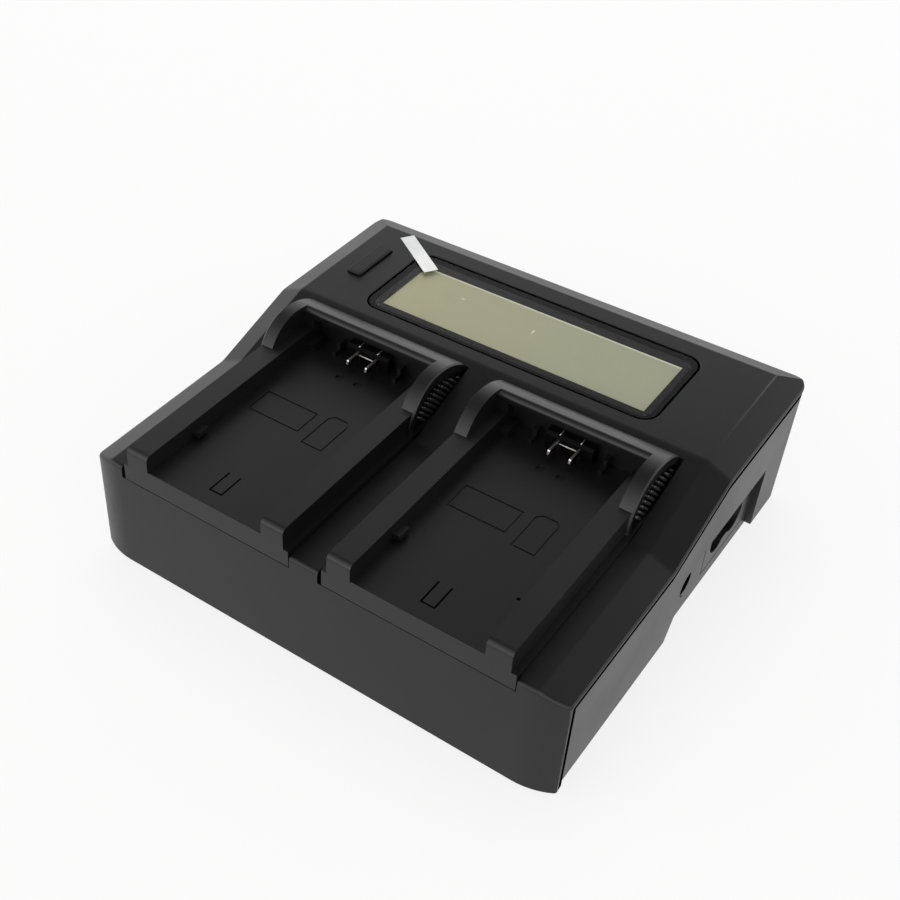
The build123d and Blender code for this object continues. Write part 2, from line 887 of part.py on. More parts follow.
# Battery plate about its own middle: tray, rails, hood, flange and slide runners in one moulding
with BuildPart() as plate_form:
    plate_front = front_y - 5
    with BuildSketch(Plane.XZ.offset(-plate_back_y)):
        with BuildLine():
            Polyline(
                (-tier_width / 2, plate_bottom),
                (tier_width / 2, plate_bottom),
                (tier_width / 2, tier_top),
                (plate_width / 2, tier_top),
                (plate_width / 2, rail_top),
                (-plate_width / 2, rail_top),
                (-plate_width / 2, tier_top),
                (-tier_width / 2, tier_top),
                close=True,
            )
        make_face()
    extrude(amount=plate_back_y - plate_front)
    # Hood that arches up from the rails and falls back to the deck, its cheeks proud of the plate
    extrude(hood_side.sketch, amount=cheek_x, both=True)
    hood_edges = plate_form.edges().filter_by(
        lambda e: e.center().Z > tier_top and abs(abs(e.center().X) - cheek_x) < 0.01
    )
    chamfer(hood_edges.filter_by(GeomType.CIRCLE), length=hood_edge_break)
    # Open tray between the rails, and the wider mouth inside the hood
    tray_half = plate_width / 2 - rail_width
    with Locations((0, tray_back_y, tray_floor)):
        Box(
            2 * tray_half,
            tray_back_y - plate_front + 5,
            terminal_height + mouth_clear,
            align=(Align.CENTER, Align.MAX, Align.MIN),
            mode=Mode.SUBTRACT,
        )
    with Locations((0, hood_bar_y, rail_top)):
        Box(
            plate_width - 2 * hood_arm,
            hood_bar_y - hood_front_y + 20,
            20,
            align=(Align.CENTER, Align.MAX, Align.MIN),
            mode=Mode.SUBTRACT,
        )
    bar_edge = plate_form.edges().filter_by(
        lambda e: abs(e.center().Y - hood_bar_y) < 0.01
        and e.center().Z > rail_top + 2
        and e.geom_type == GeomType.LINE
        and e.length > tray_half
    ).sort_by(Axis.Z)[-1:]
    fillet(bar_edge, radius=bar_edge_radius)
    # Front flange that drops into the rebate of the front wall
    with Locations((0, plate_front, flange_bottom)):
        Box(
            tier_width,
            front_y + front_lean * (low_deck - z0) + flange_thick - plate_front,
            tier_top - flange_bottom,
            align=(Align.CENTER, Align.MIN, Align.MIN),
        )
    # Front trimmed to the lean of the case front
    with BuildSketch(Plane.YZ):
        with BuildLine():
            Polyline(
                (front_y - 20, z0),
                (front_y, z0),
                (front_y + front_lean * 60, z0 + 60),
                (front_y - 20, z0 + 60),
                close=True,
            )
        make_face()
    extrude(amount=case_width, both=True, mode=Mode.SUBTRACT)
    nose_edges = plate_form.edges().filter_by(Axis.X).filter_by(
        lambda e: e.center().Y < front_y + 6 and abs(e.center().Z - rail_top) < 0.01
    )
    fillet(nose_edges, radius=rail_nose_radius)
    sill_edge = plate_form.edges().filter_by(Axis.X).filter_by(
        lambda e: e.center().Y < front_y + 6 and abs(e.center().Z - tray_floor) < 0.01
    )
    fillet(sill_edge, radius=sill_edge_radius)
    # Runners with outward tongues that slide under the lips of the bay
    for side in (1, -1):
        run_y = front_y + front_lean * (low_deck - z0) + flange_thick
        with Locations((side * runner_gauge / 2, run_y - 0.5, slide_floor + slide_clear)):
            Box(
                runner_neck,
                slide_back_y - 1.0 - run_y + 0.5,
                plate_bottom + 0.2 - slide_floor - slide_clear,
                align=(Align.MAX if side > 0 else Align.MIN, Align.MIN, Align.MIN),
            )
            Box(
                tongue_reach,
                slide_back_y - 1.0 - run_y + 0.5,
                tongue_thick,
                align=(Align.MIN if side > 0 else Align.MAX, Align.MIN, Align.MIN),
            )
    # Recess below the lip of each cheek, with the finger ribs standing in it
    for side in (1, -1):
        recess_x = side * (cheek_x - grip_recess)
        extrude(
            Pos(recess_x, 0, 0) * recess_side.sketch,
            amount=2 * grip_recess,
            dir=(side, 0, 0),
            mode=Mode.SUBTRACT,
        )
        extrude(
            Pos(recess_x - side * grip_rib_sunk, 0, 0) * grip_bars.sketch,
            amount=grip_recess,
            dir=(side, 0, 0),
        )
    # Latch tongue cut free on three sides
    with Locations((0, latch_front_y, plate_bottom - 1)):
        Box(
            latch_width, slit_width, 10, align=(Align.CENTER, Align.MIN, Align.MIN), mode=Mode.SUBTRACT
        )
        for side in (1, -1):
            with Locations((side * latch_width / 2, 0, 0)):
                Box(
                    slit_width,
                    latch_length,
                    10,
                    align=(Align.MAX if side > 0 else Align.MIN, Align.MIN, Align.MIN),
                    mode=Mode.SUBTRACT,
                )
    # Engraved outlines, one rectangle and one with its back corners cut off
    with BuildSketch(Plane.XY.offset(tray_floor)):
        with Locations((mark_x, mark_y)):
            Rectangle(mark_width, mark_length)
            Rectangle(mark_width - 2 * mark_line, mark_length - 2 * mark_line, mode=Mode.SUBTRACT)
    extrude(amount=-mark_depth, mode=Mode.SUBTRACT)
    with BuildSketch(Plane.XY.offset(tray_floor)) as arch_outer:
        with Locations((arch_x, arch_y)):
            Rectangle(arch_width, arch_length)
        chamfer(arch_outer.vertices().group_by(Axis.Y)[-1], length=arch_corner)
        offset(amount=-mark_line, mode=Mode.SUBTRACT)
    extrude(amount=-mark_depth, mode=Mode.SUBTRACT)
    # Stop tab on the left rail, boss in the left corner, hooks, dimples and a drilled mark
    with Locations((-tray_half, stop_y, tray_floor + stop_rise)):
        Box(stop_width, stop_length, stop_thick, align=(Align.CENTER, Align.CENTER, Align.MIN))
    with Locations((-tray_half, boss_mid_y, tray_floor)):
        Box(boss_width, boss_length, boss_height, align=(Align.CENTER, Align.CENTER, Align.MIN))
    with Locations((hook_x, tray_back_y, tray_floor), (-hook_x, tray_back_y, tray_floor)):
        Box(hook_thick, hook_post, hook_height, align=(Align.CENTER, Align.MAX, Align.MIN))
        Box(hook_thick, hook_length, hook_foot, align=(Align.CENTER, Align.MAX, Align.MIN))
    with BuildSketch(Plane.XY.offset(tray_floor)):
        with Locations((dimple_x, dimple_y), (-dimple_x, dimple_y)):
            Circle(dimple_radius)
    extrude(amount=-dimple_depth, mode=Mode.SUBTRACT)
    with BuildSketch(Plane.XY.offset(tray_floor)):
        with Locations((mark_hole_x, mark_hole_y)):
            Rectangle(mark_hole_width, mark_hole_width)
    extrude(amount=-mark_hole_depth, mode=Mode.SUBTRACT)
    # Seats for the pads below the floor and slots for the tails of the blades
    with Locations((pad_pitch / 2, pad_back_y, plate_bottom), (-pad_pitch / 2, pad_back_y, plate_bottom)):
        Box(
            pad_width + 2 * pad_fit,
            pad_length + 2 * pad_fit,
            pad_thick,
            align=(Align.CENTER, Align.MAX, Align.MIN),
            mode=Mode.SUBTRACT,
        )
    with Locations((blade_gauge / 2, blade_root_y, plate_bottom), (-blade_gauge / 2, blade_root_y, plate_bottom)):
        Box(
            blade_thick + 2 * blade_fit,
            blade_tail + blade_fit,
            tray_floor - plate_bottom,
            align=(Align.CENTER, Align.MAX, Align.MIN),
            mode=Mode.SUBTRACT,
        )

with BuildPart() as battery_plate_left:
    with Locations((-bay_x, 0, 0)):
        add(plate_form.part)
battery_plate_left.part.label = "battery_plate_left"
export_step(battery_plate_left.part, "parts/battery_plate_left.step")

with BuildPart() as battery_plate_right:
    with Locations((bay_x, 0, 0)):
        add(plate_form.part)
battery_plate_right.part.label = "battery_plate_right"
export_step(battery_plate_right.part, "parts/battery_plate_right.step")

# Contact holder at the back of a tray, with a slot for each blade
with BuildPart() as terminal_form:
    with Locations((0, tray_back_y, tray_floor)):
        Box(
            terminal_width,
            terminal_depth,
            terminal_height,
            align=(Align.CENTER, Align.MAX, Align.MIN),
        )
    nose = terminal_form.edges().filter_by(Axis.X).sort_by(Axis.Y)[:2].sort_by(Axis.Z)[-1]
    chamfer(nose, length=0.8)
    with Locations((blade_gauge / 2, blade_root_y, tray_floor), (-blade_gauge / 2, blade_root_y, tray_floor)):
        Box(
            blade_thick + 2 * blade_fit,
            blade_length,
            blade_rise + blade_height + blade_fit,
            align=(Align.CENTER, Align.MAX, Align.MIN),
            mode=Mode.SUBTRACT,
        )

with BuildPart() as terminal_block_left:
    with Locations((-bay_x, 0, 0)):
        add(terminal_form.part)
terminal_block_left.part.label = "terminal_block_left"
export_step(terminal_block_left.part, "parts/terminal_block_left.step")

with BuildPart() as terminal_block_right:
    with Locations((bay_x, 0, 0)):
        add(terminal_form.part)
terminal_block_right.part.label = "terminal_block_right"
export_step(terminal_block_right.part, "parts/terminal_block_right.step")

# Contact blades with tails that go down to the pads
with BuildPart() as blades_form:
    with BuildSketch(Plane.YZ):
        with BuildLine():
            tail_y = blade_root_y - blade_fit
            blade_bottom = tray_floor + blade_rise
            Polyline(
                (blade_tip_y, blade_bottom + blade_height / 2),
                (blade_tip_y + blade_height / 4, blade_bottom),
                (tail_y - blade_tail + blade_fit, blade_bottom),
                (tail_y - blade_tail + blade_fit, plate_bottom + pad_thick),
                (tail_y, plate_bottom + pad_thick),
                (tail_y, blade_bottom + blade_height),
                (blade_tip_y + blade_height / 4, blade_bottom + blade_height),
                close=True,
            )
        make_face()
    extrude(amount=blade_thick / 2, both=True)

with BuildPart() as terminal_blades_left:
    with Locations((-bay_x - blade_gauge / 2, 0, 0), (-bay_x + blade_gauge / 2, 0, 0)):
        add(blades_form.part)
terminal_blades_left.part.label = "terminal_blades_left"
export_step(terminal_blades_left.part, "parts/terminal_blades_left.step")

with BuildPart() as terminal_blades_right:
    with Locations((bay_x - blade_gauge / 2, 0, 0), (bay_x + blade_gauge / 2, 0, 0)):
        add(blades_form.part)
terminal_blades_right.part.label = "terminal_blades_right"
export_step(terminal_blades_right.part, "parts/terminal_blades_right.step")

# Pads under a plate, which meet the springs of the bay
with BuildPart() as pad_form:
    with Locations((0, pad_back_y - pad_fit, plate_bottom)):
        Box(pad_width, pad_length, pad_thick, align=(Align.CENTER, Align.MAX, Align.MIN))

with BuildPart() as plate_pads_left:
    with Locations((-bay_x - pad_pitch / 2, 0, 0), (-bay_x + pad_pitch / 2, 0, 0)):
        add(pad_form.part)
plate_pads_left.part.label = "plate_pads_left"
export_step(plate_pads_left.part, "parts/plate_pads_left.step")

with BuildPart() as plate_pads_right:
    with Locations((bay_x - pad_pitch / 2, 0, 0), (bay_x + pad_pitch / 2, 0, 0)):
        add(pad_form.part)
plate_pads_right.part.label = "plate_pads_right"
export_step(plate_pads_right.part, "parts/plate_pads_right.step")

# Connector under a bay, held by two stakes of the cover
with BuildPart() as connector_form:
    with Locations((0, spring_y, bay_under)):
        Box(
            connector_width,
            connector_depth,
            connector_height,
            align=(Align.CENTER, Align.CENTER, Align.MAX),
        )
    chamfer(connector_form.edges().filter_by(Axis.Z), length=1.2)
    with Locations((stake_gauge / 2, spring_y, bay_under), (-stake_gauge / 2, spring_y, bay_under)):
        Box(
            stake_width + 2 * stake_fit,
            stake_width + 2 * stake_fit,
            connector_height,
            align=(Align.CENTER, Align.CENTER, Align.MAX),
            mode=Mode.SUBTRACT,
        )

with BuildPart() as bay_connector_left:
    with Locations((-bay_x, 0, 0)):
        add(connector_form.part)
bay_connector_left.part.label = "bay_connector_left"
export_step(bay_connector_left.part, "parts/bay_connector_left.step")

with BuildPart() as bay_connector_right:
    with Locations((bay_x, 0, 0)):
        add(connector_form.part)
bay_connector_right.part.label = "bay_connector_right"
export_step(bay_connector_right.part, "parts/bay_connector_right.step")

# Bent leaf springs that press up through the bay floor
with BuildPart() as spring_form:
    with BuildSketch(Plane.YZ):
        with BuildLine():
            spring_top = plate_bottom - contact_gap
            reach = spring_length / 2
            crown = spring_crown / 2
            Polyline(
                (spring_y - reach, bay_under),
                (spring_y - crown, spring_top),
                (spring_y + crown, spring_top),
                (spring_y + reach, bay_under),
                (spring_y + reach - spring_thick, bay_under),
                (spring_y + crown - spring_thick / 2, spring_top - spring_thick),
                (spring_y - crown + spring_thick / 2, spring_top - spring_thick),
                (spring_y - reach + spring_thick, bay_under),
                close=True,
            )
        make_face()
    extrude(amount=spring_width / 2, both=True)

with BuildPart() as bay_springs_left:
    with Locations((-bay_x - pad_pitch / 2, 0, 0), (-bay_x + pad_pitch / 2, 0, 0)):
        add(spring_form.part)
bay_springs_left.part.label = "bay_springs_left"
export_step(bay_springs_left.part, "parts/bay_springs_left.step")

with BuildPart() as bay_springs_right:
    with Locations((bay_x - pad_pitch / 2, 0, 0), (bay_x + pad_pitch / 2, 0, 0)):
        add(spring_form.part)
bay_springs_right.part.label = "bay_springs_right"
export_step(bay_springs_right.part, "parts/bay_springs_right.step")

# Flat twin lead from a connector down to the main board, bowed forwards
with BuildPart() as lead_form:
    lead_top = bay_under - connector_height
    with BuildSketch(Plane.YZ):
        with BuildLine():
            FilletPolyline(
                (spring_y, lead_top),
                (spring_y, lead_top - lead_straight),
                (spring_y - lead_bow, (lead_top + board_top) / 2),
                (spring_y, board_top + lead_straight),
                (spring_y, board_top),
                radius=lead_bend,
            )
        trace(line_width=lead_thick)
    extrude(amount=lead_width / 2, both=True)

with BuildPart() as bay_leads_left:
    with Locations((-bay_x, 0, 0)):
        add(lead_form.part)
bay_leads_left.part.label = "bay_leads_left"
export_step(bay_leads_left.part, "parts/bay_leads_left.step")

with BuildPart() as bay_leads_right:
    with Locations((bay_x, 0, 0)):
        add(lead_form.part)
bay_leads_right.part.label = "bay_leads_right"
export_step(bay_leads_right.part, "parts/bay_leads_right.step")

# Clear window, set below the deck
with BuildPart() as display_window:
    with BuildSketch(Plane.XY.offset(window_bottom)):
        with Locations((0, window_mid)):
            RectangleRounded(
                window_width - 2 * window_clear,
                window_back_y - window_front_y - 2 * window_clear,
                window_radius - window_clear,
            )
    extrude(amount=window_thick)
display_window.part.label = "display_window"
export_step(display_window.part, "parts/display_window.step")

# Frame that carries the glass and the light guide in the sight opening
with BuildPart() as lcd_frame:
    with BuildSketch(Plane.XY.offset(display_board_top)) as frame_plan:
        with Locations((0, window_mid)):
            Rectangle(sight_width - 2 * frame_clear, sight_length - 2 * frame_clear)
        chamfer(frame_plan.vertices(), length=window_radius - window_ledge)
    extrude(amount=lcd_top + frame_lip - display_board_top)
    with BuildSketch(Plane.XY.offset(high_ceiling)):
        with Locations((0, window_mid)):
            Rectangle(sight_width + 2 * frame_flange, sight_length + 2 * frame_flange)
    extrude(amount=-frame_flange_thick)
    with BuildSketch(Plane.XY.offset(display_board_top)):
        with Locations((0, view_mid)):
            Rectangle(glass_width + 2 * edge_clear, glass_length + 2 * edge_clear)
    extrude(amount=lcd_top - display_board_top, mode=Mode.SUBTRACT)
    with BuildSketch(Plane.XY.offset(display_board_top)):
        with Locations((0, view_mid)):
            Rectangle(view_width, view_back_y - view_front_y)
    extrude(amount=lcd_top + frame_lip - display_board_top, mode=Mode.SUBTRACT)
lcd_frame.part.label = "lcd_frame"
export_step(lcd_frame.part, "parts/lcd_frame.step")

# Liquid crystal glass
with BuildPart() as lcd_panel:
    with BuildSketch(Plane.XY.offset(lcd_top)):
        with Locations((0, view_mid)):
            Rectangle(glass_width, glass_length)
    extrude(amount=-lcd_thick)
lcd_panel.part.label = "lcd_panel"
export_step(lcd_panel.part, "parts/lcd_panel.step")

# Light guide behind the glass
with BuildPart() as light_guide:
    with BuildSketch(Plane.XY.offset(display_board_top)):
        with Locations((0, view_mid)):
            Rectangle(glass_width, glass_length)
    extrude(amount=guide_thick)
light_guide.part.label = "light_guide"
export_step(light_guide.part, "parts/light_guide.step")

# Board under the display, on four pegs of the cover
with BuildPart() as display_board:
    with BuildSketch(Plane.XY.offset(display_board_top)):
        with Locations((display_board_left, display_board_front_y)):
            Rectangle(
                display_board_right - display_board_left,
                display_board_back_y - display_board_front_y,
                align=(Align.MIN, Align.MIN),
            )
        with Locations(*display_posts):
            Rectangle(peg_width + 2 * peg_fit, peg_width + 2 * peg_fit, mode=Mode.SUBTRACT)
    extrude(amount=-display_board_thick)
display_board.part.label = "display_board"
export_step(display_board.part, "parts/display_board.step")

# Pull tab of the protective film, stuck across the corner of the window
with BuildPart() as film_pull_tab:
    with BuildSketch(Plane.XY.offset(high_deck)):
        with Locations((-window_width / 2 - tab_side, window_back_y - tab_inset)):
            Rectangle(tab_length, tab_width, rotation=tab_angle)
    extrude(amount=tab_thick)
film_pull_tab.part.label = "film_pull_tab"
export_step(film_pull_tab.part, "parts/film_pull_tab.step")

# Long key with a flange that stops under the deck
with BuildPart() as mode_button:
    with BuildSketch(Plane.XY.offset(high_deck + button_proud)):
        with Locations((button_x, button_y)):
            RectangleRounded(button_width, button_length, button_corner)
    extrude(amount=-(button_proud + skin + button_flange_thick / 2))
    chamfer(mode_button.faces().sort_by(Axis.Z)[-1].edges(), length=button_edge_break)
    with BuildSketch(Plane.XY.offset(high_ceiling)):
        with Locations((button_x, button_y)):
            Rectangle(button_width + 2 * button_flange, button_length + 2 * button_flange)
    extrude(amount=-button_flange_thick)
    with BuildSketch(Plane.XY.offset(high_ceiling - button_flange_thick)):
        with Locations((button_x, button_y)):
            Rectangle(button_stem, button_stem)
    extrude(amount=-button_stem_length)
mode_button.part.label = "mode_button"
export_step(mode_button.part, "parts/mode_button.step")

# Tact switch under the key
with BuildPart() as switch_body:
    with BuildSketch(Plane.XY.offset(display_board_top)):
        with Locations((button_x, button_y)):
            Rectangle(switch_size, switch_size)
    extrude(amount=switch_height)
    with BuildSketch(Plane.XY.offset(display_board_top + switch_height)):
        with Locations((button_x, button_y)):
            Rectangle(plunger_width + 2 * plunger_clear, plunger_width + 2 * plunger_clear)
    extrude(amount=-(plunger_sunk + button_travel + plunger_clear), mode=Mode.SUBTRACT)
switch_body.part.label = "switch_body"
export_step(switch_body.part, "parts/switch_body.step")

with BuildPart() as switch_plunger:
    plunger_top = high_ceiling - button_flange_thick - button_stem_length
    with BuildSketch(Plane.XY.offset(display_board_top + switch_height - plunger_sunk)):
        with Locations((button_x, button_y)):
            Rectangle(plunger_width, plunger_width)
    extrude(amount=plunger_top - display_board_top - switch_height + plunger_sunk)
switch_plunger.part.label = "switch_plunger"
export_step(switch_plunger.part, "parts/switch_plunger.step")

# Figure-of-eight mains inlet, standing on the main board
with BuildPart() as ac_inlet:
    with BuildSketch(Plane.YZ.offset(pocket_x)):
        with Locations((inlet_y, socket_z)):
            Rectangle(inlet_face_width, inlet_face_height)
    extrude(amount=-inlet_face_thick)
    body_half = inlet_lobe_gauge / 2 + inlet_lobe + inlet_wall
    with BuildSketch(Plane.YZ.offset(pocket_x)):
        with Locations((inlet_y, board_top)):
            Rectangle(
                2 * body_half,
                socket_z + inlet_lobe + inlet_wall - board_top,
                align=(Align.CENTER, Align.MIN),
            )
    extrude(amount=-inlet_body_depth)
    with BuildSketch(Plane.YZ.offset(pocket_x)):
        with Locations((inlet_y - inlet_lobe_gauge / 2, socket_z), (inlet_y + inlet_lobe_gauge / 2, socket_z)):
            Circle(inlet_lobe)
        with Locations((inlet_y, socket_z)):
            Rectangle(inlet_lobe_gauge, inlet_waist)
    extrude(amount=-inlet_depth, mode=Mode.SUBTRACT)
ac_inlet.part.label = "ac_inlet"
export_step(ac_inlet.part, "parts/ac_inlet.step")

with BuildPart() as ac_pins:
    with BuildSketch(Plane.YZ.offset(pocket_x - inlet_depth + pin_length)):
        with Locations((inlet_y - pin_gauge / 2, socket_z), (inlet_y + pin_gauge / 2, socket_z)):
            Circle(pin_diameter / 2)
    extrude(amount=-pin_length)
ac_pins.part.label = "ac_pins"
export_step(ac_pins.part, "parts/ac_pins.step")

# Round low-voltage jack, standing on the main board
with BuildPart() as dc_jack:
    jack_front = pocket_x - pocket_backing - jack_gap
    with BuildSketch(Plane.YZ.offset(jack_front)):
        with Locations((jack_y, board_top)):
            Rectangle(jack_size, jack_z + jack_size / 2 - board_top, align=(Align.CENTER, Align.MIN))
    extrude(amount=-jack_body_depth)
    with BuildSketch(Plane.YZ.offset(jack_face)):
        with Locations((jack_y, jack_z)):
            Circle(jack_bore / 2 + jack_collar)
    extrude(amount=jack_front - jack_face)
    with BuildSketch(Plane.YZ.offset(jack_face)):
        with Locations((jack_y, jack_z)):
            Circle(jack_bore / 2)
    extrude(amount=-jack_depth, mode=Mode.SUBTRACT)
dc_jack.part.label = "dc_jack"
export_step(dc_jack.part, "parts/dc_jack.step")

with BuildPart() as dc_pin:
    with BuildSketch(Plane.YZ.offset(jack_face - jack_pin_sunk)):
        with Locations((jack_y, jack_z)):
            Circle(jack_pin / 2)
    extrude(amount=-(jack_depth - jack_pin_sunk))
dc_pin.part.label = "dc_pin"
export_step(dc_pin.part, "parts/dc_pin.step")

# Main board on four pegged posts of the base
with BuildPart() as main_board:
    with BuildSketch(Plane.XY.offset(board_z)):
        with Locations((board_left, board_front_y)):
            Rectangle(
                board_right - board_left, board_back_y - board_front_y, align=(Align.MIN, Align.MIN)
            )
        with Locations(*post_points):
            Rectangle(peg_width + 2 * peg_fit, peg_width + 2 * peg_fit, mode=Mode.SUBTRACT)
    extrude(amount=board_thick)
main_board.part.label = "main_board"
export_step(main_board.part, "parts/main_board.step")

# Transformer: core with two windows, and the winding round its middle leg
with BuildPart() as transformer_core:
    with BuildSketch(Plane.XZ.offset(-core_y)):
        with Locations((core_x, board_top)):
            Rectangle(core_width, core_height, align=(Align.CENTER, Align.MIN))
        with Locations((core_x, board_top + core_yoke)):
            Rectangle(
                core_width - 2 * core_leg,
                core_height - 2 * core_yoke,
                align=(Align.CENTER, Align.MIN),
                mode=Mode.SUBTRACT,
            )
            Rectangle(core_centre, core_height - 2 * core_yoke, align=(Align.CENTER, Align.MIN))
    extrude(amount=core_depth / 2, both=True)
transformer_core.part.label = "transformer_core"
export_step(transformer_core.part, "parts/transformer_core.step")

with BuildPart() as transformer_winding:
    with BuildSketch(Plane.XY.offset(board_top + core_yoke)) as winding_plan:
        with Locations((core_x, core_y)):
            Rectangle(
                core_centre + 2 * winding_clear + 2 * winding_build,
                core_depth + 2 * winding_clear + 2 * winding_build,
            )
            chamfer(winding_plan.vertices(), length=winding_corner)
            Rectangle(core_centre + 2 * winding_clear, core_depth + 2 * winding_clear, mode=Mode.SUBTRACT)
    extrude(amount=core_height - 2 * core_yoke)
transformer_winding.part.label = "transformer_winding"
export_step(transformer_winding.part, "parts/transformer_winding.step")

# Mains capacitor, a can standing on the board
with BuildPart() as mains_capacitor:
    with BuildSketch(Plane.XY.offset(board_top)):
        with Locations((board_right - mains_cap_gap, mains_cap_y)):
            Circle(mains_cap_diameter / 2)
    extrude(amount=mains_cap_height)
mains_capacitor.part.label = "mains_capacitor"
export_step(mains_capacitor.part, "parts/mains_capacitor.step")

with BuildPart() as output_capacitors:
    with BuildSketch(Plane.XY.offset(board_top)):
        with Locations((board_left + output_cap_gap, output_cap_y)):
            with GridLocations(0, output_cap_pitch, 1, output_caps):
                Circle(output_cap_diameter / 2)
    extrude(amount=output_cap_height)
output_capacitors.part.label = "output_capacitors"
export_step(output_capacitors.part, "parts/output_capacitors.step")

# Mains choke on a square ring core
with BuildPart() as choke:
    with BuildSketch(Plane.XY.offset(board_top)):
        with Locations((board_right - choke_gap, choke_y)):
            Rectangle(choke_outer, choke_outer)
            Rectangle(choke_inner, choke_inner, mode=Mode.SUBTRACT)
    extrude(amount=choke_height)
    chamfer(choke.faces().sort_by(Axis.Z)[-1].outer_wire().edges(), length=choke_edge)
choke.part.label = "choke"
export_step(choke.part, "parts/choke.step")

# Finned heat sink, an upright comb section
with BuildPart() as heat_sink:
    with BuildSketch(Plane.XY.offset(board_top)):
        with Locations((sink_x, sink_y)):
            Rectangle(sink_width, sink_plate, align=(Align.CENTER, Align.MAX))
            with GridLocations((sink_width - sink_fin) / (sink_fins - 1), 0, sink_fins, 1):
                Rectangle(sink_fin, sink_fin_depth, align=(Align.CENTER, Align.MIN))
    extrude(amount=sink_height)
heat_sink.part.label = "heat_sink"
export_step(heat_sink.part, "parts/heat_sink.step")

# Fuse in a moulded case
with BuildPart() as fuse:
    with BuildSketch(Plane.XY.offset(board_top)):
        with Locations((board_right - fuse_gap, fuse_y)):
            Rectangle(fuse_length, fuse_width)
    extrude(amount=fuse_height)
    chamfer(fuse.edges().filter_by(Axis.Z), length=fuse_corner)
fuse.part.label = "fuse"
export_step(fuse.part, "parts/fuse.step")

# Flat ribbon from the display board down to the main board
with BuildPart() as display_ribbon:
    with BuildSketch(Plane.YZ.offset(ribbon_x)):
        with BuildLine() as ribbon_line:
            display_board_under = display_board_top - display_board_thick
            ribbon_mid = (board_top + display_board_under) / 2
            FilletPolyline(
                (ribbon_bottom_y, board_top),
                (ribbon_bottom_y, ribbon_mid),
                (ribbon_top_y, ribbon_mid),
                (ribbon_top_y, display_board_under),
                radius=ribbon_bend,
            )
        trace(line_width=ribbon_thick)
    extrude(amount=ribbon_width / 2, both=True)
display_ribbon.part.label = "display_ribbon"
export_step(display_ribbon.part, "parts/display_ribbon.step")

# Case screws, up through the base into the posts of the cover
with BuildPart() as case_screws:
    with Locations(*[(x, y, z0 + screw_head_depth) for x, y in boss_points]):
        Cylinder(screw_head / 2, screw_head_thick, align=(Align.CENTER, Align.CENTER, Align.MAX))
        Cylinder(
            screw_diameter / 2,
            boss_split - screw_head_depth + screw_bite,
            align=(Align.CENTER, Align.CENTER, Align.MIN),
        )
case_screws.part.label = "case_screws"
export_step(case_screws.part, "parts/case_screws.step")

# Rubber feet, stuck to the underside
with BuildPart() as rubber_feet:
    with BuildSketch(Plane.XY) as feet_plan:
        with Locations(*foot_points):
            Rectangle(foot_width, foot_width)
        chamfer(feet_plan.vertices(), length=foot_corner)
    extrude(amount=foot_proud)
rubber_feet.part.label = "rubber_feet"
export_step(rubber_feet.part, "parts/rubber_feet.step")
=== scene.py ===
import math

import bmesh
import bpy
import numpy as np
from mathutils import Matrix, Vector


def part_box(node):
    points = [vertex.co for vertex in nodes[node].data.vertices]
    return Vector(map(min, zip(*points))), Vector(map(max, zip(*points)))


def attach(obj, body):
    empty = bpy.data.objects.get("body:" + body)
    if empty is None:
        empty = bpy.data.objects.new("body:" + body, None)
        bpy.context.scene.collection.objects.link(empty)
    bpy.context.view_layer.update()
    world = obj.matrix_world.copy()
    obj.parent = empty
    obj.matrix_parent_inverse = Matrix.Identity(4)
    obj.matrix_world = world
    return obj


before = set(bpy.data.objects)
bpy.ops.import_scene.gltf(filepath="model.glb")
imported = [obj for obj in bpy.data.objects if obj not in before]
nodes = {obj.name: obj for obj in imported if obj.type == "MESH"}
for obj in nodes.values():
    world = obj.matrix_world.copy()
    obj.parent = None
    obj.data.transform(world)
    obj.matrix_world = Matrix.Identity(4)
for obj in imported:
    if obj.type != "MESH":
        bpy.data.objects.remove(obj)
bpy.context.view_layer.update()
scene = bpy.context.scene
scene.view_settings.view_transform = "Standard"
print("frame loaded:", len(nodes), "nodes")

mm = 0.001
plainWhite = (1, 1, 1, 1)


def linear(hexText):
    # sRGB hex to linear light, by the standard curve
    parts = np.array([int(hexText[i:i + 2], 16) for i in (1, 3, 5)]) / 255
    low = parts / 12.92
    high = ((parts + 0.055) / 1.055) ** 2.4
    return (*np.where(parts <= 0.04045, low, high).tolist(), 1.0)


def addNode(tree, kind, inputs=None, **settings):
    # An input is a socket to link or a value to set. Some sockets go by number: a colour Mix has its
    # factor at 0, its colours at 6 and 7 and its result at 2.
    made = tree.nodes.new(kind)
    for name, value in settings.items():
        setattr(made, name, value)
    for socket, value in (inputs or {}).items():
        if isinstance(value, bpy.types.NodeSocket):
            tree.links.new(value, made.inputs[socket])
        else:
            made.inputs[socket].default_value = value
    return made


def startMaterial(name):
    # a new material with its Principled node, ready for patterns on Object coordinates
    material = bpy.data.materials.new(name)
    material.use_nodes = True
    tree = material.node_tree
    skin = tree.nodes["Principled BSDF"]
    place = addNode(tree, "ShaderNodeTexCoord").outputs["Object"]
    return material, tree, skin, place


def circleTurns(count):
    # angles of that many points evenly round a circle
    return np.linspace(0, 2 * np.pi, count, endpoint=False)


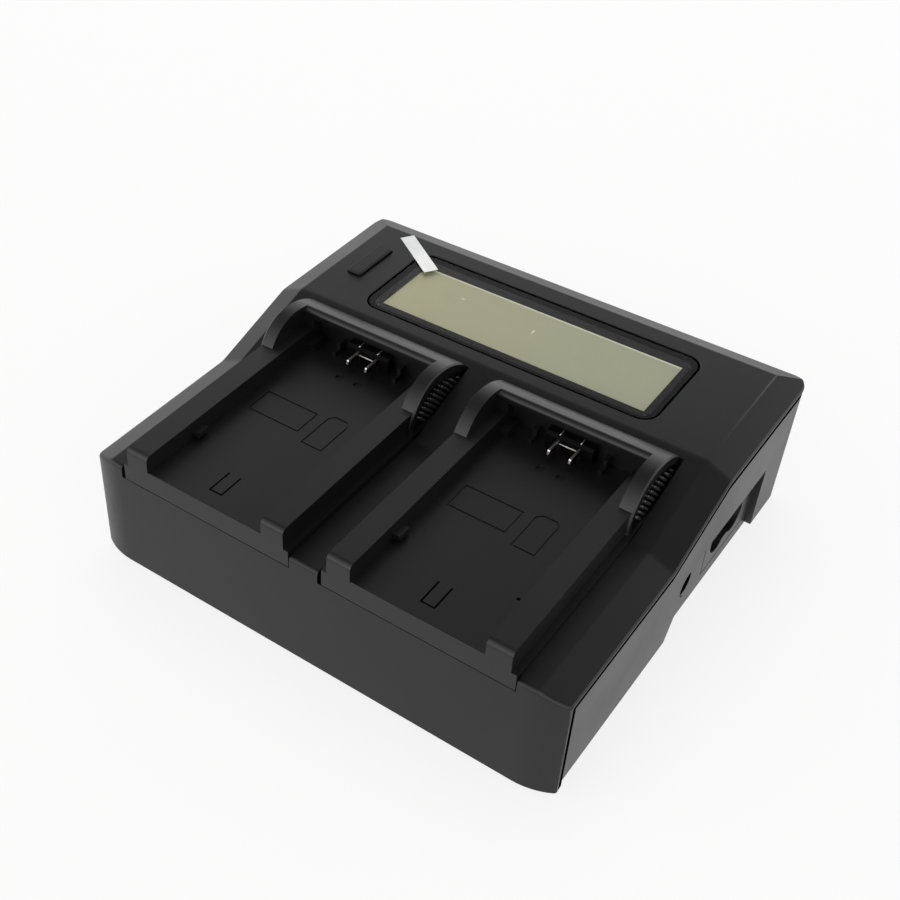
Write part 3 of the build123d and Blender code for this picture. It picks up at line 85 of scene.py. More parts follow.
# Camera, at the photograph's angle
view = dict(place=(0.14079, -0.23116, 0.26207), turn=(47.593, 0.0, 36.041), lens=52.37, sensor=36.0,
            shiftX=0.0873, shiftY=0.0308, clipStart=0.01)
eye = bpy.data.cameras.new("studioCamera")
eye.sensor_width = view["sensor"]
eye.lens = view["lens"]
eye.shift_x = view["shiftX"]
eye.shift_y = view["shiftY"]
eye.clip_start = view["clipStart"]
eyeObject = bpy.data.objects.new("studioCamera", eye)
eyeObject.location = view["place"]
eyeObject.rotation_euler = [math.radians(angle) for angle in view["turn"]]
scene.collection.objects.link(eyeObject)
scene.camera = eyeObject
print("camera set")

# Studio: pale floor, bright surroundings at table height and in front, dim ceiling, two soft lamps
studio = dict(floorHalf=3.0, floorShare=0.8, floorMirrored=0.8, board="#f1f1f0", boardRough=0.9,
              horizon=1.5, ceiling=0.22, ceilingFrom=0.0, ceilingTo=0.9,
              frontGain=0.8, frontFrom=0.1, frontTo=-0.8, lampsAimAt=(0, 0, 0.02))
lamps = [
    dict(name="overheadSoftbox", place=(-0.3, 0.45, 1.3), size=1.0, power=5.2),
    dict(name="sideSoftbox", place=(1.2, 0.1, 0.8), size=0.9, power=1.0),
]

far = studio["floorHalf"]
floorMesh = bpy.data.meshes.new("studioFloor")
floorMesh.from_pydata([(-far, -far, 0), (far, -far, 0), (far, far, 0), (-far, far, 0)], [], [(0, 1, 2, 3)])
floor = bpy.data.objects.new("studioFloor", floorMesh)
scene.collection.objects.link(floor)

# painted board: matt and off-white. To the camera and to reflections it is mostly plain white, and the
# rest of it is the lit board, which keeps the object's shadow
floorPaint, tree, skin, _ = startMaterial("mattPaintedBoard")
skin.inputs["Base Color"].default_value = linear(studio["board"])
skin.inputs["Roughness"].default_value = studio["boardRough"]
path = addNode(tree, "ShaderNodeLightPath")
straight = addNode(tree, "ShaderNodeMath", {
    0: path.outputs["Is Camera Ray"], 1: path.outputs["Is Glossy Ray"]}, operation="MAXIMUM")
seen = addNode(tree, "ShaderNodeMath", {
    0: straight.outputs[0], 1: path.outputs["Is Transmission Ray"]}, operation="MAXIMUM")
share = addNode(tree, "ShaderNodeMath", {0: seen.outputs[0], 1: studio["floorShare"]}, operation="MULTIPLY")
bright = addNode(tree, "ShaderNodeMath", {
    0: path.outputs["Is Camera Ray"], 1: 1 - studio["floorMirrored"], 2: studio["floorMirrored"]},
    operation="MULTIPLY_ADD")
paper = addNode(tree, "ShaderNodeEmission", {"Color": plainWhite, "Strength": bright.outputs[0]})
board = addNode(tree, "ShaderNodeMixShader", {0: share.outputs[0], 1: skin.outputs[0], 2: paper.outputs[0]})
tree.links.new(board.outputs[0], tree.nodes["Material Output"].inputs["Surface"])
floorMesh.materials.append(floorPaint)

world = bpy.data.worlds.new("studioSurroundings")
scene.world = world
world.use_nodes = True
tree = world.node_tree
tree.nodes.clear()
way = addNode(tree, "ShaderNodeTexCoord").outputs["Generated"]
ways = addNode(tree, "ShaderNodeSeparateXYZ", {0: way})
upward = addNode(tree, "ShaderNodeMapRange", {
    "Value": ways.outputs["Z"], "From Min": studio["ceilingFrom"], "From Max": studio["ceilingTo"],
    "To Min": studio["horizon"], "To Max": studio["ceiling"]}, interpolation_type="SMOOTHSTEP")
forward = addNode(tree, "ShaderNodeMapRange", {
    "Value": ways.outputs["Y"], "From Min": studio["frontFrom"], "From Max": studio["frontTo"],
    "To Min": 0.0, "To Max": studio["frontGain"]}, interpolation_type="SMOOTHSTEP")
tone = addNode(tree, "ShaderNodeMath", {0: upward.outputs[0], 1: forward.outputs[0]}, operation="ADD")
path = addNode(tree, "ShaderNodeLightPath")
level = addNode(tree, "ShaderNodeMix", {0: path.outputs["Is Camera Ray"], 2: tone.outputs[0], 3: 1.0},
                data_type="FLOAT")
glow = addNode(tree, "ShaderNodeBackground", {"Color": plainWhite, "Strength": level.outputs[0]})
addNode(tree, "ShaderNodeOutputWorld", {"Surface": glow.outputs[0]})

for lamp in lamps:
    light = bpy.data.lights.new(lamp["name"], "AREA")
    light.shape = "DISK"
    light.size = lamp["size"]
    light.energy = lamp["power"]
    lightObject = bpy.data.objects.new(lamp["name"], light)
    lightObject.location = lamp["place"]
    lightObject.visible_glossy = False  # black plastic mirrors the surroundings, not the lamp
    aim = np.array(studio["lampsAimAt"]) - np.array(lamp["place"])
    flatReach = math.hypot(aim[0], aim[1])
    lightObject.rotation_euler = (math.atan2(flatReach, -aim[2]), 0, math.atan2(aim[1], aim[0]) - math.pi / 2)
    scene.collection.objects.link(lightObject)
print("studio lit with", len(lamps), "lamps")

# Moulded plastics: a body colour that clouds a little, a grain left by the mould, and patches that have
# been handled and are slightly shinier
moulding = dict(cloudMm=14, touchMm=32, touchFrom=0.3, touchTo=0.7, index=1.53)


def mouldedPlastic(name, dark, light, shine, spread, grainMm, depthMm, specular):
    material, tree, skin, place = startMaterial(name)
    cloud = addNode(tree, "ShaderNodeTexNoise", {
        "Vector": place, "Scale": 1 / (moulding["cloudMm"] * mm), "Detail": 3.0})
    body = addNode(tree, "ShaderNodeMix", {0: cloud.outputs[0], 6: linear(dark), 7: linear(light)},
                   data_type="RGBA")
    touch = addNode(tree, "ShaderNodeTexNoise", {
        "Vector": place, "Scale": 1 / (moulding["touchMm"] * mm), "Detail": 4.0})
    gloss = addNode(tree, "ShaderNodeMapRange", {
        "Value": touch.outputs[0], "From Min": moulding["touchFrom"], "From Max": moulding["touchTo"],
        "To Min": shine - spread, "To Max": shine + spread})
    grain = addNode(tree, "ShaderNodeTexNoise", {"Vector": place, "Scale": 1 / (grainMm * mm), "Detail": 2.0})
    relief = addNode(tree, "ShaderNodeBump", {
        "Strength": 1.0, "Distance": depthMm * mm, "Height": grain.outputs[0]})
    tree.links.new(body.outputs[2], skin.inputs["Base Color"])
    tree.links.new(gloss.outputs[0], skin.inputs["Roughness"])
    tree.links.new(relief.outputs[0], skin.inputs["Normal"])
    skin.inputs["IOR"].default_value = moulding["index"]
    skin.inputs["Specular IOR Level"].default_value = specular
    return material


# black ABS with a fine spark-eroded grain: an even charcoal that greys where it mirrors a pale wall;
# the grain is really about 0.1 mm, and is drawn at about 0.5 mm on the ABS pieces so that it shows
coverAbs = mouldedPlastic("mouldedAbsCover", "#09090a", "#0e0e10", shine=0.37, spread=0.04,
                          grainMm=0.45, depthMm=0.006, specular=0.38)
# the base comes from a smoother mould: the same resin with a clearer sheen
baseAbs = mouldedPlastic("mouldedAbsBase", "#0c0c0d", "#111113", shine=0.36, spread=0.04,
                         grainMm=0.45, depthMm=0.005, specular=0.6)
# the plates come from a coarser mould, with a deeper grain; their colour is a shade darker than the cover's,
# a painted shade for the hollows under the hoods and the plates' upright faces
plateAbs = mouldedPlastic("mouldedAbsPlate", "#070708", "#0b0b0c", shine=0.37, spread=0.04,
                          grainMm=0.5, depthMm=0.007, specular=0.45)
# unpainted glass-filled nylon of the contact holders: nearly black and darker than the other black plastics,
# a painted shade for holders deep under the hoods, slightly mottled
holderNylon = mouldedPlastic("glassFilledNylonHolder", "#040405", "#070708", shine=0.6, spread=0.05,
                             grainMm=0.7, depthMm=0.008, specular=0.06)
# printed border under the window: a dense matt black with no grain to see
borderInk = mouldedPlastic("printedBorderInk", "#040404", "#070707", shine=0.8, spread=0.04,
                           grainMm=1.2, depthMm=0.001, specular=0.0)
# filled nylon of the round jack: dull and black, with its rim painted as dark as the bore, partly a painted
# shade, so its rim and bore read as one dark ring
jackNylon = mouldedPlastic("filledNylonJack", "#050506", "#080809", shine=0.6, spread=0.05,
                           grainMm=0.8, depthMm=0.004, specular=0.0)
# the finger ribs are rubbed smooth, with a strong sheen, and painted a lighter grey than the plate: a painted
# highlight where their round tops catch the light
gripAbs = mouldedPlastic("absGripPaintedHighlight", "#262628", "#2c2c2f", shine=0.36, spread=0.04,
                         grainMm=0.6, depthMm=0.002, specular=1.0)
# nylon of the spacer between the blades: waxy, and painted pale as a painted highlight along the holder's
# front edge, so it shows as a thin light line
spacerNylon = mouldedPlastic("paleSpacerPaintedHighlight", "#c9c6bd", "#d8d5cc", shine=0.42, spread=0.05,
                             grainMm=0.8, depthMm=0.003, specular=0.5)
# black strip in the seam and black bead round the window, a painted shadow for the dark gaps there: dull, and
# darker than anything beside it
gapShadowBlack = mouldedPlastic("blackPaintedGapShadow", "#020202", "#050505", shine=0.75, spread=0.05,
                         grainMm=0.9, depthMm=0.004, specular=0.0)
# PBT of the mains inlet: hard, smooth, a little paler than the case
socketPbt = mouldedPlastic("mouldedPbtSocket", "#111112", "#171718", shine=0.36, spread=0.04,
                           grainMm=0.9, depthMm=0.004, specular=0.5)
# key cap of the same ABS as the cover, with a shallower grain; its colour is a shade darker, a painted shade
# for the key's dark sides in its slot
keyAbs = mouldedPlastic("mouldedAbsKey", "#060607", "#0a0a0b", shine=0.37, spread=0.05,
                        grainMm=0.45, depthMm=0.004, specular=0.34)
# soft moulded rubber: dull and dark with a coarse bloom
footRubber = mouldedPlastic("mouldedRubberFoot", "#141414", "#1c1c1b", shine=0.8, spread=0.06,
                            grainMm=0.6, depthMm=0.01, specular=0.3)
# flexible PVC insulation of the leads: dark red, satin
leadPvc = mouldedPlastic("extrudedPvcLead", "#4a0f0f", "#571313", shine=0.45, spread=0.05,
                         grainMm=1.2, depthMm=0.004, specular=0.5)
# polycarbonate light guide: milky white
guidePc = mouldedPlastic("milkyPolycarbonateGuide", "#d6d6cf", "#e0e0da", shine=0.35, spread=0.04,
                         grainMm=1.5, depthMm=0.003, specular=0.5)
# shrink sleeve of the capacitors: dark blue, glossy, with a slight orange peel
sleevePet = mouldedPlastic("shrinkSleevePet", "#0e1322", "#131a2d", shine=0.25, spread=0.05,
                           grainMm=1.6, depthMm=0.012, specular=0.5)
# sintered ferrite: dark grey-brown and granular
ferrite = mouldedPlastic("sinteredFerrite", "#2a2826", "#383533", shine=0.7, spread=0.06,
                         grainMm=0.35, depthMm=0.012, specular=0.4)
# polyester tape over the winding: amber, smooth, faintly layered
windingTape = mouldedPlastic("polyesterWindingTape", "#b78a17", "#c89b26", shine=0.35, spread=0.05,
                             grainMm=2.5, depthMm=0.01, specular=0.5)
# flat polyester ribbon: pale grey and satin
ribbonPet = mouldedPlastic("polyesterRibbon", "#c4c2b8", "#d2d0c8", shine=0.4, spread=0.05,
                           grainMm=0.8, depthMm=0.005, specular=0.5)
# solder resist on glass-fibre board: green, slightly uneven
boardResist = mouldedPlastic("solderResistBoard", "#0f3b20", "#174a2a", shine=0.38, spread=0.05,
                             grainMm=0.5, depthMm=0.004, specular=0.5)
print("plastics mixed")

# Metals: worked along one direction, so fine lines vary the colour and the gloss. The lines are really
# much finer, and are drawn at 0.4 to 0.9 mm so that they show.
metalLines = dict(dullFrom=0.25, dullTo=0.75)


def workedMetal(name, dark, light, shine, spread, lineMm, stretch):
    material, tree, skin, place = startMaterial(name)
    stretched = addNode(tree, "ShaderNodeMapping", {"Vector": place, "Scale": stretch})
    lines = addNode(tree, "ShaderNodeTexNoise", {
        "Vector": stretched.outputs[0], "Scale": 1 / (lineMm * mm), "Detail": 3.0})
    body = addNode(tree, "ShaderNodeMix", {0: lines.outputs[0], 6: linear(dark), 7: linear(light)},
                   data_type="RGBA")
    gloss = addNode(tree, "ShaderNodeMapRange", {
        "Value": lines.outputs[0], "From Min": metalLines["dullFrom"], "From Max": metalLines["dullTo"],
        "To Min": shine - spread, "To Max": shine + spread})
    tree.links.new(body.outputs[2], skin.inputs["Base Color"])
    tree.links.new(gloss.outputs[0], skin.inputs["Roughness"])
    skin.inputs["Metallic"].default_value = 1.0
    return material


# nickel-plated brass, rolled and stamped: bright with lines along the strip
contactNickel = workedMetal("nickelPlatedContact", "#cfccc4", "#e6e3dc", shine=0.4, spread=0.07,
                            lineMm=0.5, stretch=(1.0, 0.15, 1.0))
# zinc-plated steel screws: greyer and patchy
screwZinc = workedMetal("zincPlatedScrew", "#8f9090", "#b3b4b2", shine=0.36, spread=0.08,
                        lineMm=0.9, stretch=(1.0, 1.0, 1.0))
# extruded aluminium: pale, drawn lines run upwards
sinkAluminium = workedMetal("extrudedAluminiumSink", "#a3a5a8", "#bfc1c4", shine=0.4, spread=0.07,
                            lineMm=0.4, stretch=(1.0, 1.0, 0.08))

# nickel-plated blades: the rolled faces are a dark grey with faint stains, and a band along the upper edges
# is painted bright, a painted highlight where those edges catch the light
blade = dict(dull="#3b3a37", bright="#e8e5de", highlightFrom=40.6, highlightTo=41.0, stainMm=0.8, stain=0.15,
             rough=0.36)
bladeNickel, tree, skin, place = startMaterial("nickelBladePaintedHighlight")
axes = addNode(tree, "ShaderNodeSeparateXYZ", {0: place})
# a band near the top of each blade, painted bright: a painted highlight
edgeHighlight = addNode(tree, "ShaderNodeMapRange", {
    "Value": axes.outputs["Z"], "From Min": blade["highlightFrom"] * mm, "From Max": blade["highlightTo"] * mm})
stain = addNode(tree, "ShaderNodeTexNoise", {
    "Vector": place, "Scale": 1 / (blade["stainMm"] * mm), "Detail": 3.0})
amount = addNode(tree, "ShaderNodeMath", {0: stain.outputs[0], 1: blade["stain"], 2: edgeHighlight.outputs[0]},
                 operation="MULTIPLY_ADD")
body = addNode(tree, "ShaderNodeMix", {
    0: amount.outputs[0], 6: linear(blade["dull"]), 7: linear(blade["bright"])}, data_type="RGBA")
tree.links.new(body.outputs[2], skin.inputs["Base Color"])
skin.inputs["Metallic"].default_value = 1.0
skin.inputs["Roughness"].default_value = blade["rough"]
print("metals mixed")

# unlit liquid crystal glass under its polariser: khaki, greyer towards the right end, a painted highlight as
# a bright line along the back edge of the film, a faint mottle, and two painted glints where bubbles lie
# under the film. A fleck is its middle x and y, its half length across and its half length along, in
# millimetres.
glass = dict(left="#aca582", right="#9f9e86", halfLong=42.0, mottleMm=9.0, mottle=0.35,
             line="#d8d7c3", lineY=48.6, lineWide=0.35,
             flecks=[(-24.5, 41.5, 1.1, 0.45), (0.4, 39.5, 0.5, 1.5)],
             fleck="#e9e7d2", fleckShare=0.8, fadeFrom=0.25, fadeTo=0.9, rough=0.3, specular=0.4)
lcdGlass, tree, skin, place = startMaterial("polariserFilmGlass")
axes = addNode(tree, "ShaderNodeSeparateXYZ", {0: place})
rightward = addNode(tree, "ShaderNodeMapRange", {
    "Value": axes.outputs["X"], "From Min": -glass["halfLong"] * mm, "From Max": glass["halfLong"] * mm,
    "To Min": 0.0, "To Max": 1.0})
mottle = addNode(tree, "ShaderNodeTexNoise", {
    "Vector": place, "Scale": 1 / (glass["mottleMm"] * mm), "Detail": 3.0})
amount = addNode(tree, "ShaderNodeMath", {0: mottle.outputs[0], 1: glass["mottle"], 2: rightward.outputs[0]},
                 operation="MULTIPLY_ADD")
body = addNode(tree, "ShaderNodeMix", {
    0: amount.outputs[0], 6: linear(glass["left"]), 7: linear(glass["right"])}, data_type="RGBA")
edge = addNode(tree, "ShaderNodeMapRange", {
    "Value": axes.outputs["Y"], "From Min": (glass["lineY"] - glass["lineWide"]) * mm,
    "From Max": glass["lineY"] * mm, "To Min": 0.0, "To Max": 1.0})
lined = addNode(tree, "ShaderNodeMix", {0: edge.outputs[0], 6: body.outputs[2], 7: linear(glass["line"])},
                data_type="RGBA")
shown = lined.outputs[2]
# each fleck is a painted glint where a bubble under the film catches the light
for x, y, halfWide, halfTall in glass["flecks"]:
    # an oval that fades to its edge
    offX = addNode(tree, "ShaderNodeMath", {0: axes.outputs["X"], 1: x * mm}, operation="SUBTRACT")
    offY = addNode(tree, "ShaderNodeMath", {0: axes.outputs["Y"], 1: y * mm}, operation="SUBTRACT")
    away = addNode(tree, "ShaderNodeCombineXYZ", {0: offX.outputs[0], 1: offY.outputs[0]})
    oval = addNode(tree, "ShaderNodeVectorMath", {
        0: away.outputs[0], 1: (1 / (halfWide * mm), 1 / (halfTall * mm), 0)}, operation="MULTIPLY")
    size = addNode(tree, "ShaderNodeVectorMath", {0: oval.outputs[0]}, operation="LENGTH")
    fade = addNode(tree, "ShaderNodeMapRange", {
        "Value": size.outputs["Value"], "From Min": glass["fadeFrom"], "From Max": glass["fadeTo"],
        "To Min": glass["fleckShare"], "To Max": 0.0})
    shown = addNode(tree, "ShaderNodeMix", {0: fade.outputs[0], 6: shown, 7: linear(glass["fleck"])},
                    data_type="RGBA").outputs[2]
tree.links.new(shown, skin.inputs["Base Color"])
skin.inputs["Roughness"].default_value = glass["rough"]
skin.inputs["Specular IOR Level"].default_value = glass["specular"]

# cast acrylic sheet: clear with a hard gloss, and lamps reach the display through it. Its index is set
# to 1.3, below acrylic's 1.49, which weakens its mirror image over the display.
window = dict(tint="#f4f6f4", index=1.3, specular=0.3, hazeMm=11, hazeFrom=0.35, hazeTo=0.75,
              roughLeast=0.01, roughMost=0.03, shadowTint=(0.96, 0.97, 0.96, 1))
windowAcrylic, tree, skin, place = startMaterial("castAcrylicWindow")
skin.inputs["Base Color"].default_value = linear(window["tint"])
skin.inputs["Transmission Weight"].default_value = 1.0
skin.inputs["IOR"].default_value = window["index"]
skin.inputs["Specular IOR Level"].default_value = window["specular"]
haze = addNode(tree, "ShaderNodeTexNoise", {
    "Vector": place, "Scale": 1 / (window["hazeMm"] * mm), "Detail": 5.0})
smear = addNode(tree, "ShaderNodeMapRange", {
    "Value": haze.outputs[0], "From Min": window["hazeFrom"], "From Max": window["hazeTo"],
    "To Min": window["roughLeast"], "To Max": window["roughMost"]})
tree.links.new(smear.outputs[0], skin.inputs["Roughness"])
path = addNode(tree, "ShaderNodeLightPath")
clear = addNode(tree, "ShaderNodeBsdfTransparent", {"Color": window["shadowTint"]})
pane = addNode(tree, "ShaderNodeMixShader", {
    0: path.outputs["Is Shadow Ray"], 1: skin.outputs[0], 2: clear.outputs[0]})
tree.links.new(pane.outputs[0], tree.nodes["Material Output"].inputs["Surface"])

# pull tab of polyester film: white and satin, crinkled, with its far half beyond the fold a little greyer, a
# painted shade
tab = dict(bright="#f2f2f0", shade="#d6d8d8", crinkleMm=2.6, crinkle=0.6, crinkleDepthMm=0.05,
           foldX=-47.5, foldMm=5.0, farShift=0.25, rough=0.32)
tabFilm, tree, skin, place = startMaterial("polyesterPullTab")
crinkle = addNode(tree, "ShaderNodeTexNoise", {
    "Vector": place, "Scale": 1 / (tab["crinkleMm"] * mm), "Detail": 3.0})
axes = addNode(tree, "ShaderNodeSeparateXYZ", {0: place})
# the half past the fold is painted greyer: a painted shade
farHalf = addNode(tree, "ShaderNodeMapRange", {
    "Value": axes.outputs["X"], "From Min": (tab["foldX"] + tab["foldMm"] / 2) * mm,
    "From Max": (tab["foldX"] - tab["foldMm"] / 2) * mm,
    "To Min": -tab["farShift"], "To Max": tab["farShift"]})
amount = addNode(tree, "ShaderNodeMath", {0: crinkle.outputs[0], 1: farHalf.outputs[0]},
                 operation="ADD", use_clamp=True)
body = addNode(tree, "ShaderNodeMix", {
    0: amount.outputs[0], 6: linear(tab["bright"]), 7: linear(tab["shade"])}, data_type="RGBA")
relief = addNode(tree, "ShaderNodeBump", {
    "Strength": tab["crinkle"], "Distance": tab["crinkleDepthMm"] * mm, "Height": crinkle.outputs[0]})
tree.links.new(body.outputs[2], skin.inputs["Base Color"])
tree.links.new(relief.outputs[0], skin.inputs["Normal"])
skin.inputs["Roughness"].default_value = tab["rough"]
print("display materials mixed")

finishes = {
    coverAbs: ["top_cover"],
    baseAbs: ["base_case"],
    plateAbs: ["battery_plate_left", "battery_plate_right"],
    holderNylon: ["terminal_block_left", "terminal_block_right", "bay_connector_left",
                  "bay_connector_right", "switch_body", "fuse"],
    borderInk: ["lcd_frame"],
    socketPbt: ["ac_inlet"],
    jackNylon: ["dc_jack"],
    keyAbs: ["mode_button", "switch_plunger"],
    footRubber: ["rubber_feet"],
    leadPvc: ["bay_leads_left", "bay_leads_right"],
    guidePc: ["light_guide"],
    sleevePet: ["mains_capacitor", "output_capacitors"],
    ferrite: ["transformer_core", "choke"],
    windingTape: ["transformer_winding"],
    ribbonPet: ["display_ribbon"],
    boardResist: ["main_board", "display_board"],
    bladeNickel: ["terminal_blades_left", "terminal_blades_right"],
    contactNickel: ["plate_pads_left", "plate_pads_right", "bay_springs_left", "bay_springs_right",
                    "ac_pins", "dc_pin"],
    screwZinc: ["case_screws"],
    sinkAluminium: ["heat_sink"],
    lcdGlass: ["lcd_panel"],
    windowAcrylic: ["display_window"],
    tabFilm: ["film_pull_tab"],
}
for material, worn in finishes.items():
    for node in worn:
        coats = nodes[node].data.materials
        coats.clear()
        coats.append(material)
print("finishes on", sum(len(worn) for worn in finishes.values()), "nodes")


# New pieces are tubes: grid[k, i, j] is point j of the section at step i of tube k, in millimetres.
# A section closes on itself; a tube is either a ring or is capped at both ends.
def tubePiece(name, grid, ring, material, body):
    tubes, steps, around = grid.shape[:3]
    ids = np.arange(tubes * steps * around).reshape(tubes, steps, around)
    quads = np.stack([ids, np.roll(ids, -1, 2), np.roll(ids, (-1, -1), (1, 2)), np.roll(ids, -1, 1)], axis=-1)
    faces = (quads if ring else quads[:, :-1]).reshape(-1, 4).tolist()
    if not ring:
        faces += ids[:, 0].tolist() + ids[:, -1].tolist()
    mesh = bpy.data.meshes.new(name)
    mesh.from_pydata((grid.reshape(-1, 3) * mm).tolist(), [], faces)
    shell = bmesh.new()
    shell.from_mesh(mesh)
    bmesh.ops.recalc_face_normals(shell, faces=shell.faces)
    shell.to_mesh(mesh)
    shell.free()
    mesh.shade_smooth()
    mesh.materials.append(material)
    piece = bpy.data.objects.new(name, mesh)
    scene.collection.objects.link(piece)
    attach(piece, body)
    return piece


bays = dict(left=-32.15, right=32.15)  # middle of each bay, in millimetres

# Finger ribs over the slanted ribs of the hood's cheeks. The field of the ribs lies under two arcs that
# meet level at its peak. A rib's middle line leans by 45 degrees and runs as far as it is in the field;
# an ellipse is carried along it, shrinking to a blunt end by the root of 1 - u^6.
ribs = dict(count=11, pitch=1.435, lean=45.0, midY=1.9, midZ=40.15, peak=(1.0, 44.05), foot=(-9.68, 36.65),
            heel=(14.0, 39.15), halfWide=0.5, halfDeep=0.85, crest=26.4, spare=0.25, steps=13, around=12,
            blunt=6, tip=0.03, searchTo=14, searchSteps=1121)


def archHeight(y, peak, end):
    # height of the arc that leaves the peak level and falls to the end
    fall = peak[1] - end[1]
    radius = ((end[0] - peak[0]) ** 2 + fall ** 2) / (2 * fall)
    return peak[1] - radius + np.sqrt(np.maximum(radius ** 2 - (y - peak[0]) ** 2, 0))


lean = math.radians(ribs["lean"])
across = (np.arange(ribs["count"]) - (ribs["count"] - 1) / 2) * ribs["pitch"]
along = np.linspace(-ribs["searchTo"], ribs["searchTo"], ribs["searchSteps"])
ribY = ribs["midY"] + across[:, None] * math.sin(lean) + along * math.cos(lean)
ribZ = ribs["midZ"] + across[:, None] * math.cos(lean) - along * math.sin(lean)
roof = np.where(ribY < ribs["peak"][0], archHeight(ribY, ribs["peak"], ribs["foot"]),
                archHeight(ribY, ribs["peak"], ribs["heel"]))
inField = (ribZ < roof) & (ribZ > ribs["foot"][1]) & (ribY < ribs["heel"][0]) & (ribY > ribs["foot"][0])
starts = np.where(inField, along, np.inf).min(axis=1) - ribs["spare"]
ends = np.where(inField, along, -np.inf).max(axis=1) + ribs["spare"]
kept = inField.any(axis=1)
across, starts, ends = across[kept], starts[kept], ends[kept]
ribRun = np.linspace(-1, 1, ribs["steps"])
shrink = np.sqrt(np.maximum(1 - ribRun ** ribs["blunt"], ribs["tip"]))[None, :, None]
ribTurn = circleTurns(ribs["around"])
ribAlong = ((starts + ends)[:, None] / 2 + (ends - starts)[:, None] / 2 * ribRun)[:, :, None]
ribAcross = across[:, None, None] + ribs["halfWide"] * shrink * np.cos(ribTurn)
ribOut = ribs["crest"] - ribs["halfDeep"] + ribs["halfDeep"] * shrink * np.sin(ribTurn)
cheek = np.stack([np.broadcast_to(ribOut, ribAcross.shape),
                  ribs["midY"] + ribAcross * math.sin(lean) + ribAlong * math.cos(lean),
                  ribs["midZ"] + ribAcross * math.cos(lean) - ribAlong * math.sin(lean)], axis=-1)
for name, middle in bays.items():
    cheeks = np.concatenate([cheek, cheek * (-1, 1, 1)]) + (middle, 0, 0)
    tubePiece("fingerRibs" + name.title(), cheeks, False, gripAbs, "plate_" + name)
print("finger ribs made:", 4 * len(across))

# Black bead round the window, a painted shadow for the dark gap at its edge: an ellipse carried round a
# rectangle with round corners
bead = dict(inset=0.15, halfWide=0.32, halfHigh=0.16, corner=4.7, perCorner=12, around=10)
windowLow, windowHigh = (np.array(corner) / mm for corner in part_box("display_window"))
cornerTurn = np.linspace(0, np.pi / 2, bead["perCorner"]) + np.arange(4)[:, None] * np.pi / 2
outward = np.stack([np.cos(cornerTurn), np.sin(cornerTurn)], axis=-1)
pull = bead["inset"] + bead["corner"]
leftX, frontY = windowLow[:2] + pull
rightX, rearY = windowHigh[:2] - pull
corners = np.array([(rightX, rearY), (leftX, rearY), (leftX, frontY), (rightX, frontY)])[:, None]
beadTurn = circleTurns(bead["around"])
beadOut = bead["corner"] + bead["halfWide"] * np.cos(beadTurn)
plan = corners[:, :, None] + outward[:, :, None] * beadOut[:, None]
beadZ = np.broadcast_to(windowHigh[2] + bead["halfHigh"] * np.sin(beadTurn), plan.shape[:3])
beadGrid = np.concatenate([plan, beadZ[..., None]], axis=-1).reshape(1, -1, bead["around"], 3)
tubePiece("windowShadowBead", beadGrid, True, gapShadowBlack, "case")
print("window bead made")

# Black strip in the seam under the lip of the cover, a painted shadow that widens the dark seam line: a flat
# section carried from one front corner over the low rim, the ramp and the high rim, round the back and down
# to the other front corner. Its upper edge follows the lip, and its lower edge lies over the top of the base
# wall. Points are y and z.
seam = dict(wide=1.6, thick=0.5, lipX=71.988, slope=0.06, wallX=71.816, wallZ=30.25, draft=0.01746,
            proud=0.02, frontLow=(-62.51, 1.35), frontHigh=(-61.27, 30.9), rampLow=(-12.2, 30.9),
            rampHigh=(16.4, 39.9), backY=61.2, cornerX=66.307, turns=33)
upper = np.array([seam["frontLow"], seam["frontHigh"], seam["rampLow"], seam["rampHigh"],
                  (seam["backY"], seam["rampHigh"][1])])
ramp = upper[3] - upper[2]
mitre = math.tan(math.atan2(ramp[1], ramp[0]) / 2)
lower = upper + seam["wide"] * np.array([(1, 0), (1, -1), (mitre, -1), (mitre, -1), (0, -1)])
lipLine = np.column_stack([np.full(len(upper), seam["lipX"]), upper])
wallX = seam["wallX"] + (lower[:, 1] - seam["wallZ"]) * seam["draft"] + seam["proud"]
wallLine = np.column_stack([np.maximum(wallX, seam["lipX"] - seam["slope"]), lower])
bend = np.linspace(0, np.pi / 2, seam["turns"])[1:, None]


def roundBack(line):
    # carries the side line round the back corner, a quarter turn about the corner's upright axis, and adds
    # its mirror image for the other side
    radius = line[-1, 0] - seam["cornerX"]
    arc = np.concatenate([seam["cornerX"] + radius * np.cos(bend), seam["backY"] + radius * np.sin(bend),
                          np.full_like(bend, line[-1, 2])], axis=1)
    oneSide = np.concatenate([line, arc])
    return np.concatenate([oneSide, oneSide[::-1] * (-1, 1, 1)])


def inset(line):
    # the hidden edge of the strip: each point moved by the thickness towards the middle of the case
    inX = np.where(np.abs(line[:, 0]) > seam["cornerX"], line[:, 0], 0)
    inY = np.maximum(line[:, 1] - seam["backY"], 0)
    inward = np.column_stack([inX, inY, np.zeros(len(line))])
    return line - inward / np.linalg.norm(inward, axis=1, keepdims=True) * seam["thick"]


outerLip, outerWall = roundBack(lipLine), roundBack(wallLine)
seamGrid = np.stack([outerLip, outerWall, inset(outerWall), inset(outerLip)], axis=1)[None]
strip = tubePiece("seamShadowStrip", seamGrid, False, gapShadowBlack, "case")
strip.data.shade_flat()
print("seam strip made")

# Insulating spacer on the holder's front between the two blades, its pale colour a painted highlight along
# the holder's front edge, and the blades' tails on the holder's top: a circle carried along straight runs
spacer = dict(radius=0.16, gauge=6.2, y=4.45, z=40.1, tailFrom=5.0, tailTo=7.3, tailZ=42.45, around=8)
wireTurn = circleTurns(spacer["around"])[:, None]


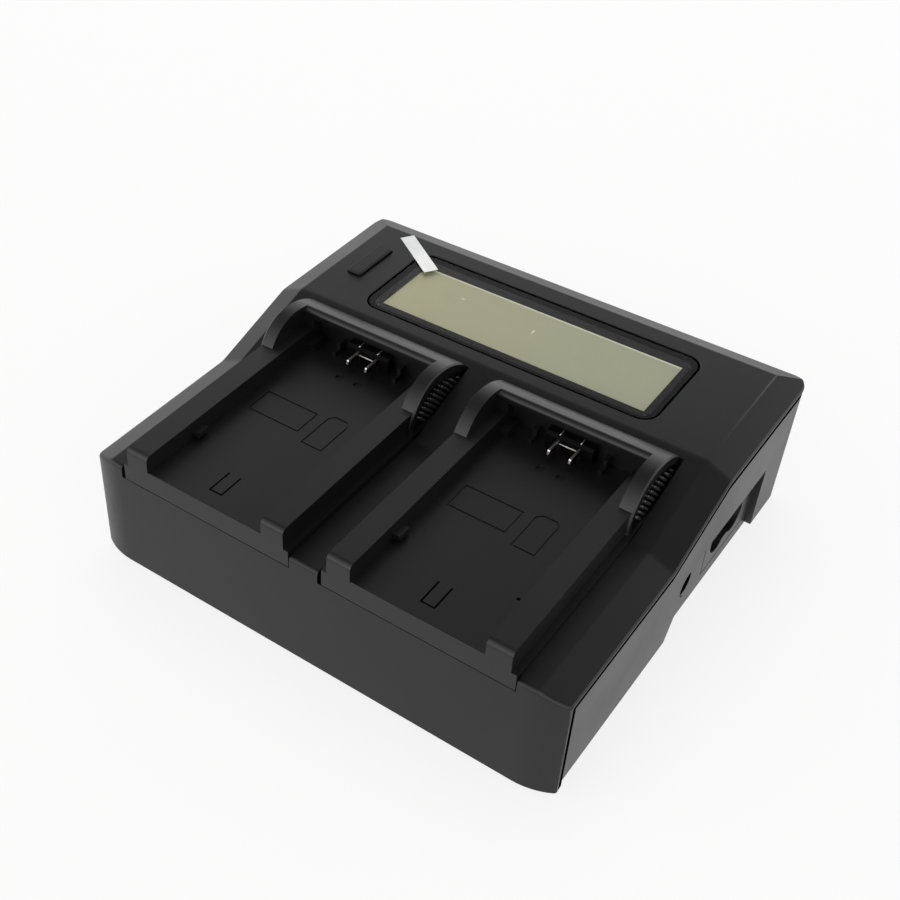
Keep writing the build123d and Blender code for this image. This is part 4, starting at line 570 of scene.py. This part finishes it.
def straightRun(start, end, sideways):
    # the circle at start and at end; sideways is the flat direction across the run
    circle = spacer["radius"] * (np.cos(wireTurn) * sideways + np.sin(wireTurn) * (0, 0, 1))
    return np.array([start, end])[:, None] + circle


halfGauge = spacer["gauge"] / 2
bar = straightRun((-halfGauge, spacer["y"], spacer["z"]), (halfGauge, spacer["y"], spacer["z"]), (0, 1, 0))
tails = np.stack([
    straightRun((x, spacer["tailFrom"], spacer["tailZ"]), (x, spacer["tailTo"], spacer["tailZ"]), (1, 0, 0))
    for x in (-halfGauge, halfGauge)])
for name, middle in bays.items():
    tubePiece("bladeSpacerHighlight" + name.title(), bar[None] + (middle, 0, 0), False, spacerNylon,
              "plate_" + name)
    tubePiece("bladeTails" + name.title(), tails + (middle, 0, 0), False, contactNickel,
              "plate_" + name)
print("blade spacers and tails made")

# Moulded edges: the sharp edges of a moulding are broken by a small round, widths in millimetres. Loose
# triangles are joined first, and flat faces made whole, so that the rounds run clean.
edges = dict(weldMm=0.005, flatDegrees=0.2, sharpDegrees=32, segments=2, faceWeight=100)
rounds = {
    "top_cover": 0.1, "base_case": 0.08, "battery_plate_left": 0.2, "battery_plate_right": 0.2,
    "mode_button": 0.06, "ac_inlet": 0.15, "dc_jack": 0.15, "terminal_block_left": 0.15,
    "terminal_block_right": 0.15, "lcd_frame": 0.12, "rubber_feet": 0.3,
}
for node, width in rounds.items():
    piece = nodes[node]
    piece.data.shade_smooth()
    weld = piece.modifiers.new("joinFaces", "WELD")
    weld.merge_threshold = edges["weldMm"] * mm
    planes = piece.modifiers.new("joinPlanes", "DECIMATE")
    planes.decimate_type = "DISSOLVE"
    planes.angle_limit = math.radians(edges["flatDegrees"])
    bevel = piece.modifiers.new("breakEdges", "BEVEL")
    bevel.width = width * mm
    bevel.segments = edges["segments"]
    bevel.loop_slide = False
    bevel.limit_method = "ANGLE"
    bevel.angle_limit = math.radians(edges["sharpDegrees"])
    even = piece.modifiers.new("flattenFaces", "WEIGHTED_NORMAL")
    even.mode = "FACE_AREA"
    even.weight = edges["faceWeight"]
print("edges broken on", len(rounds), "mouldings")
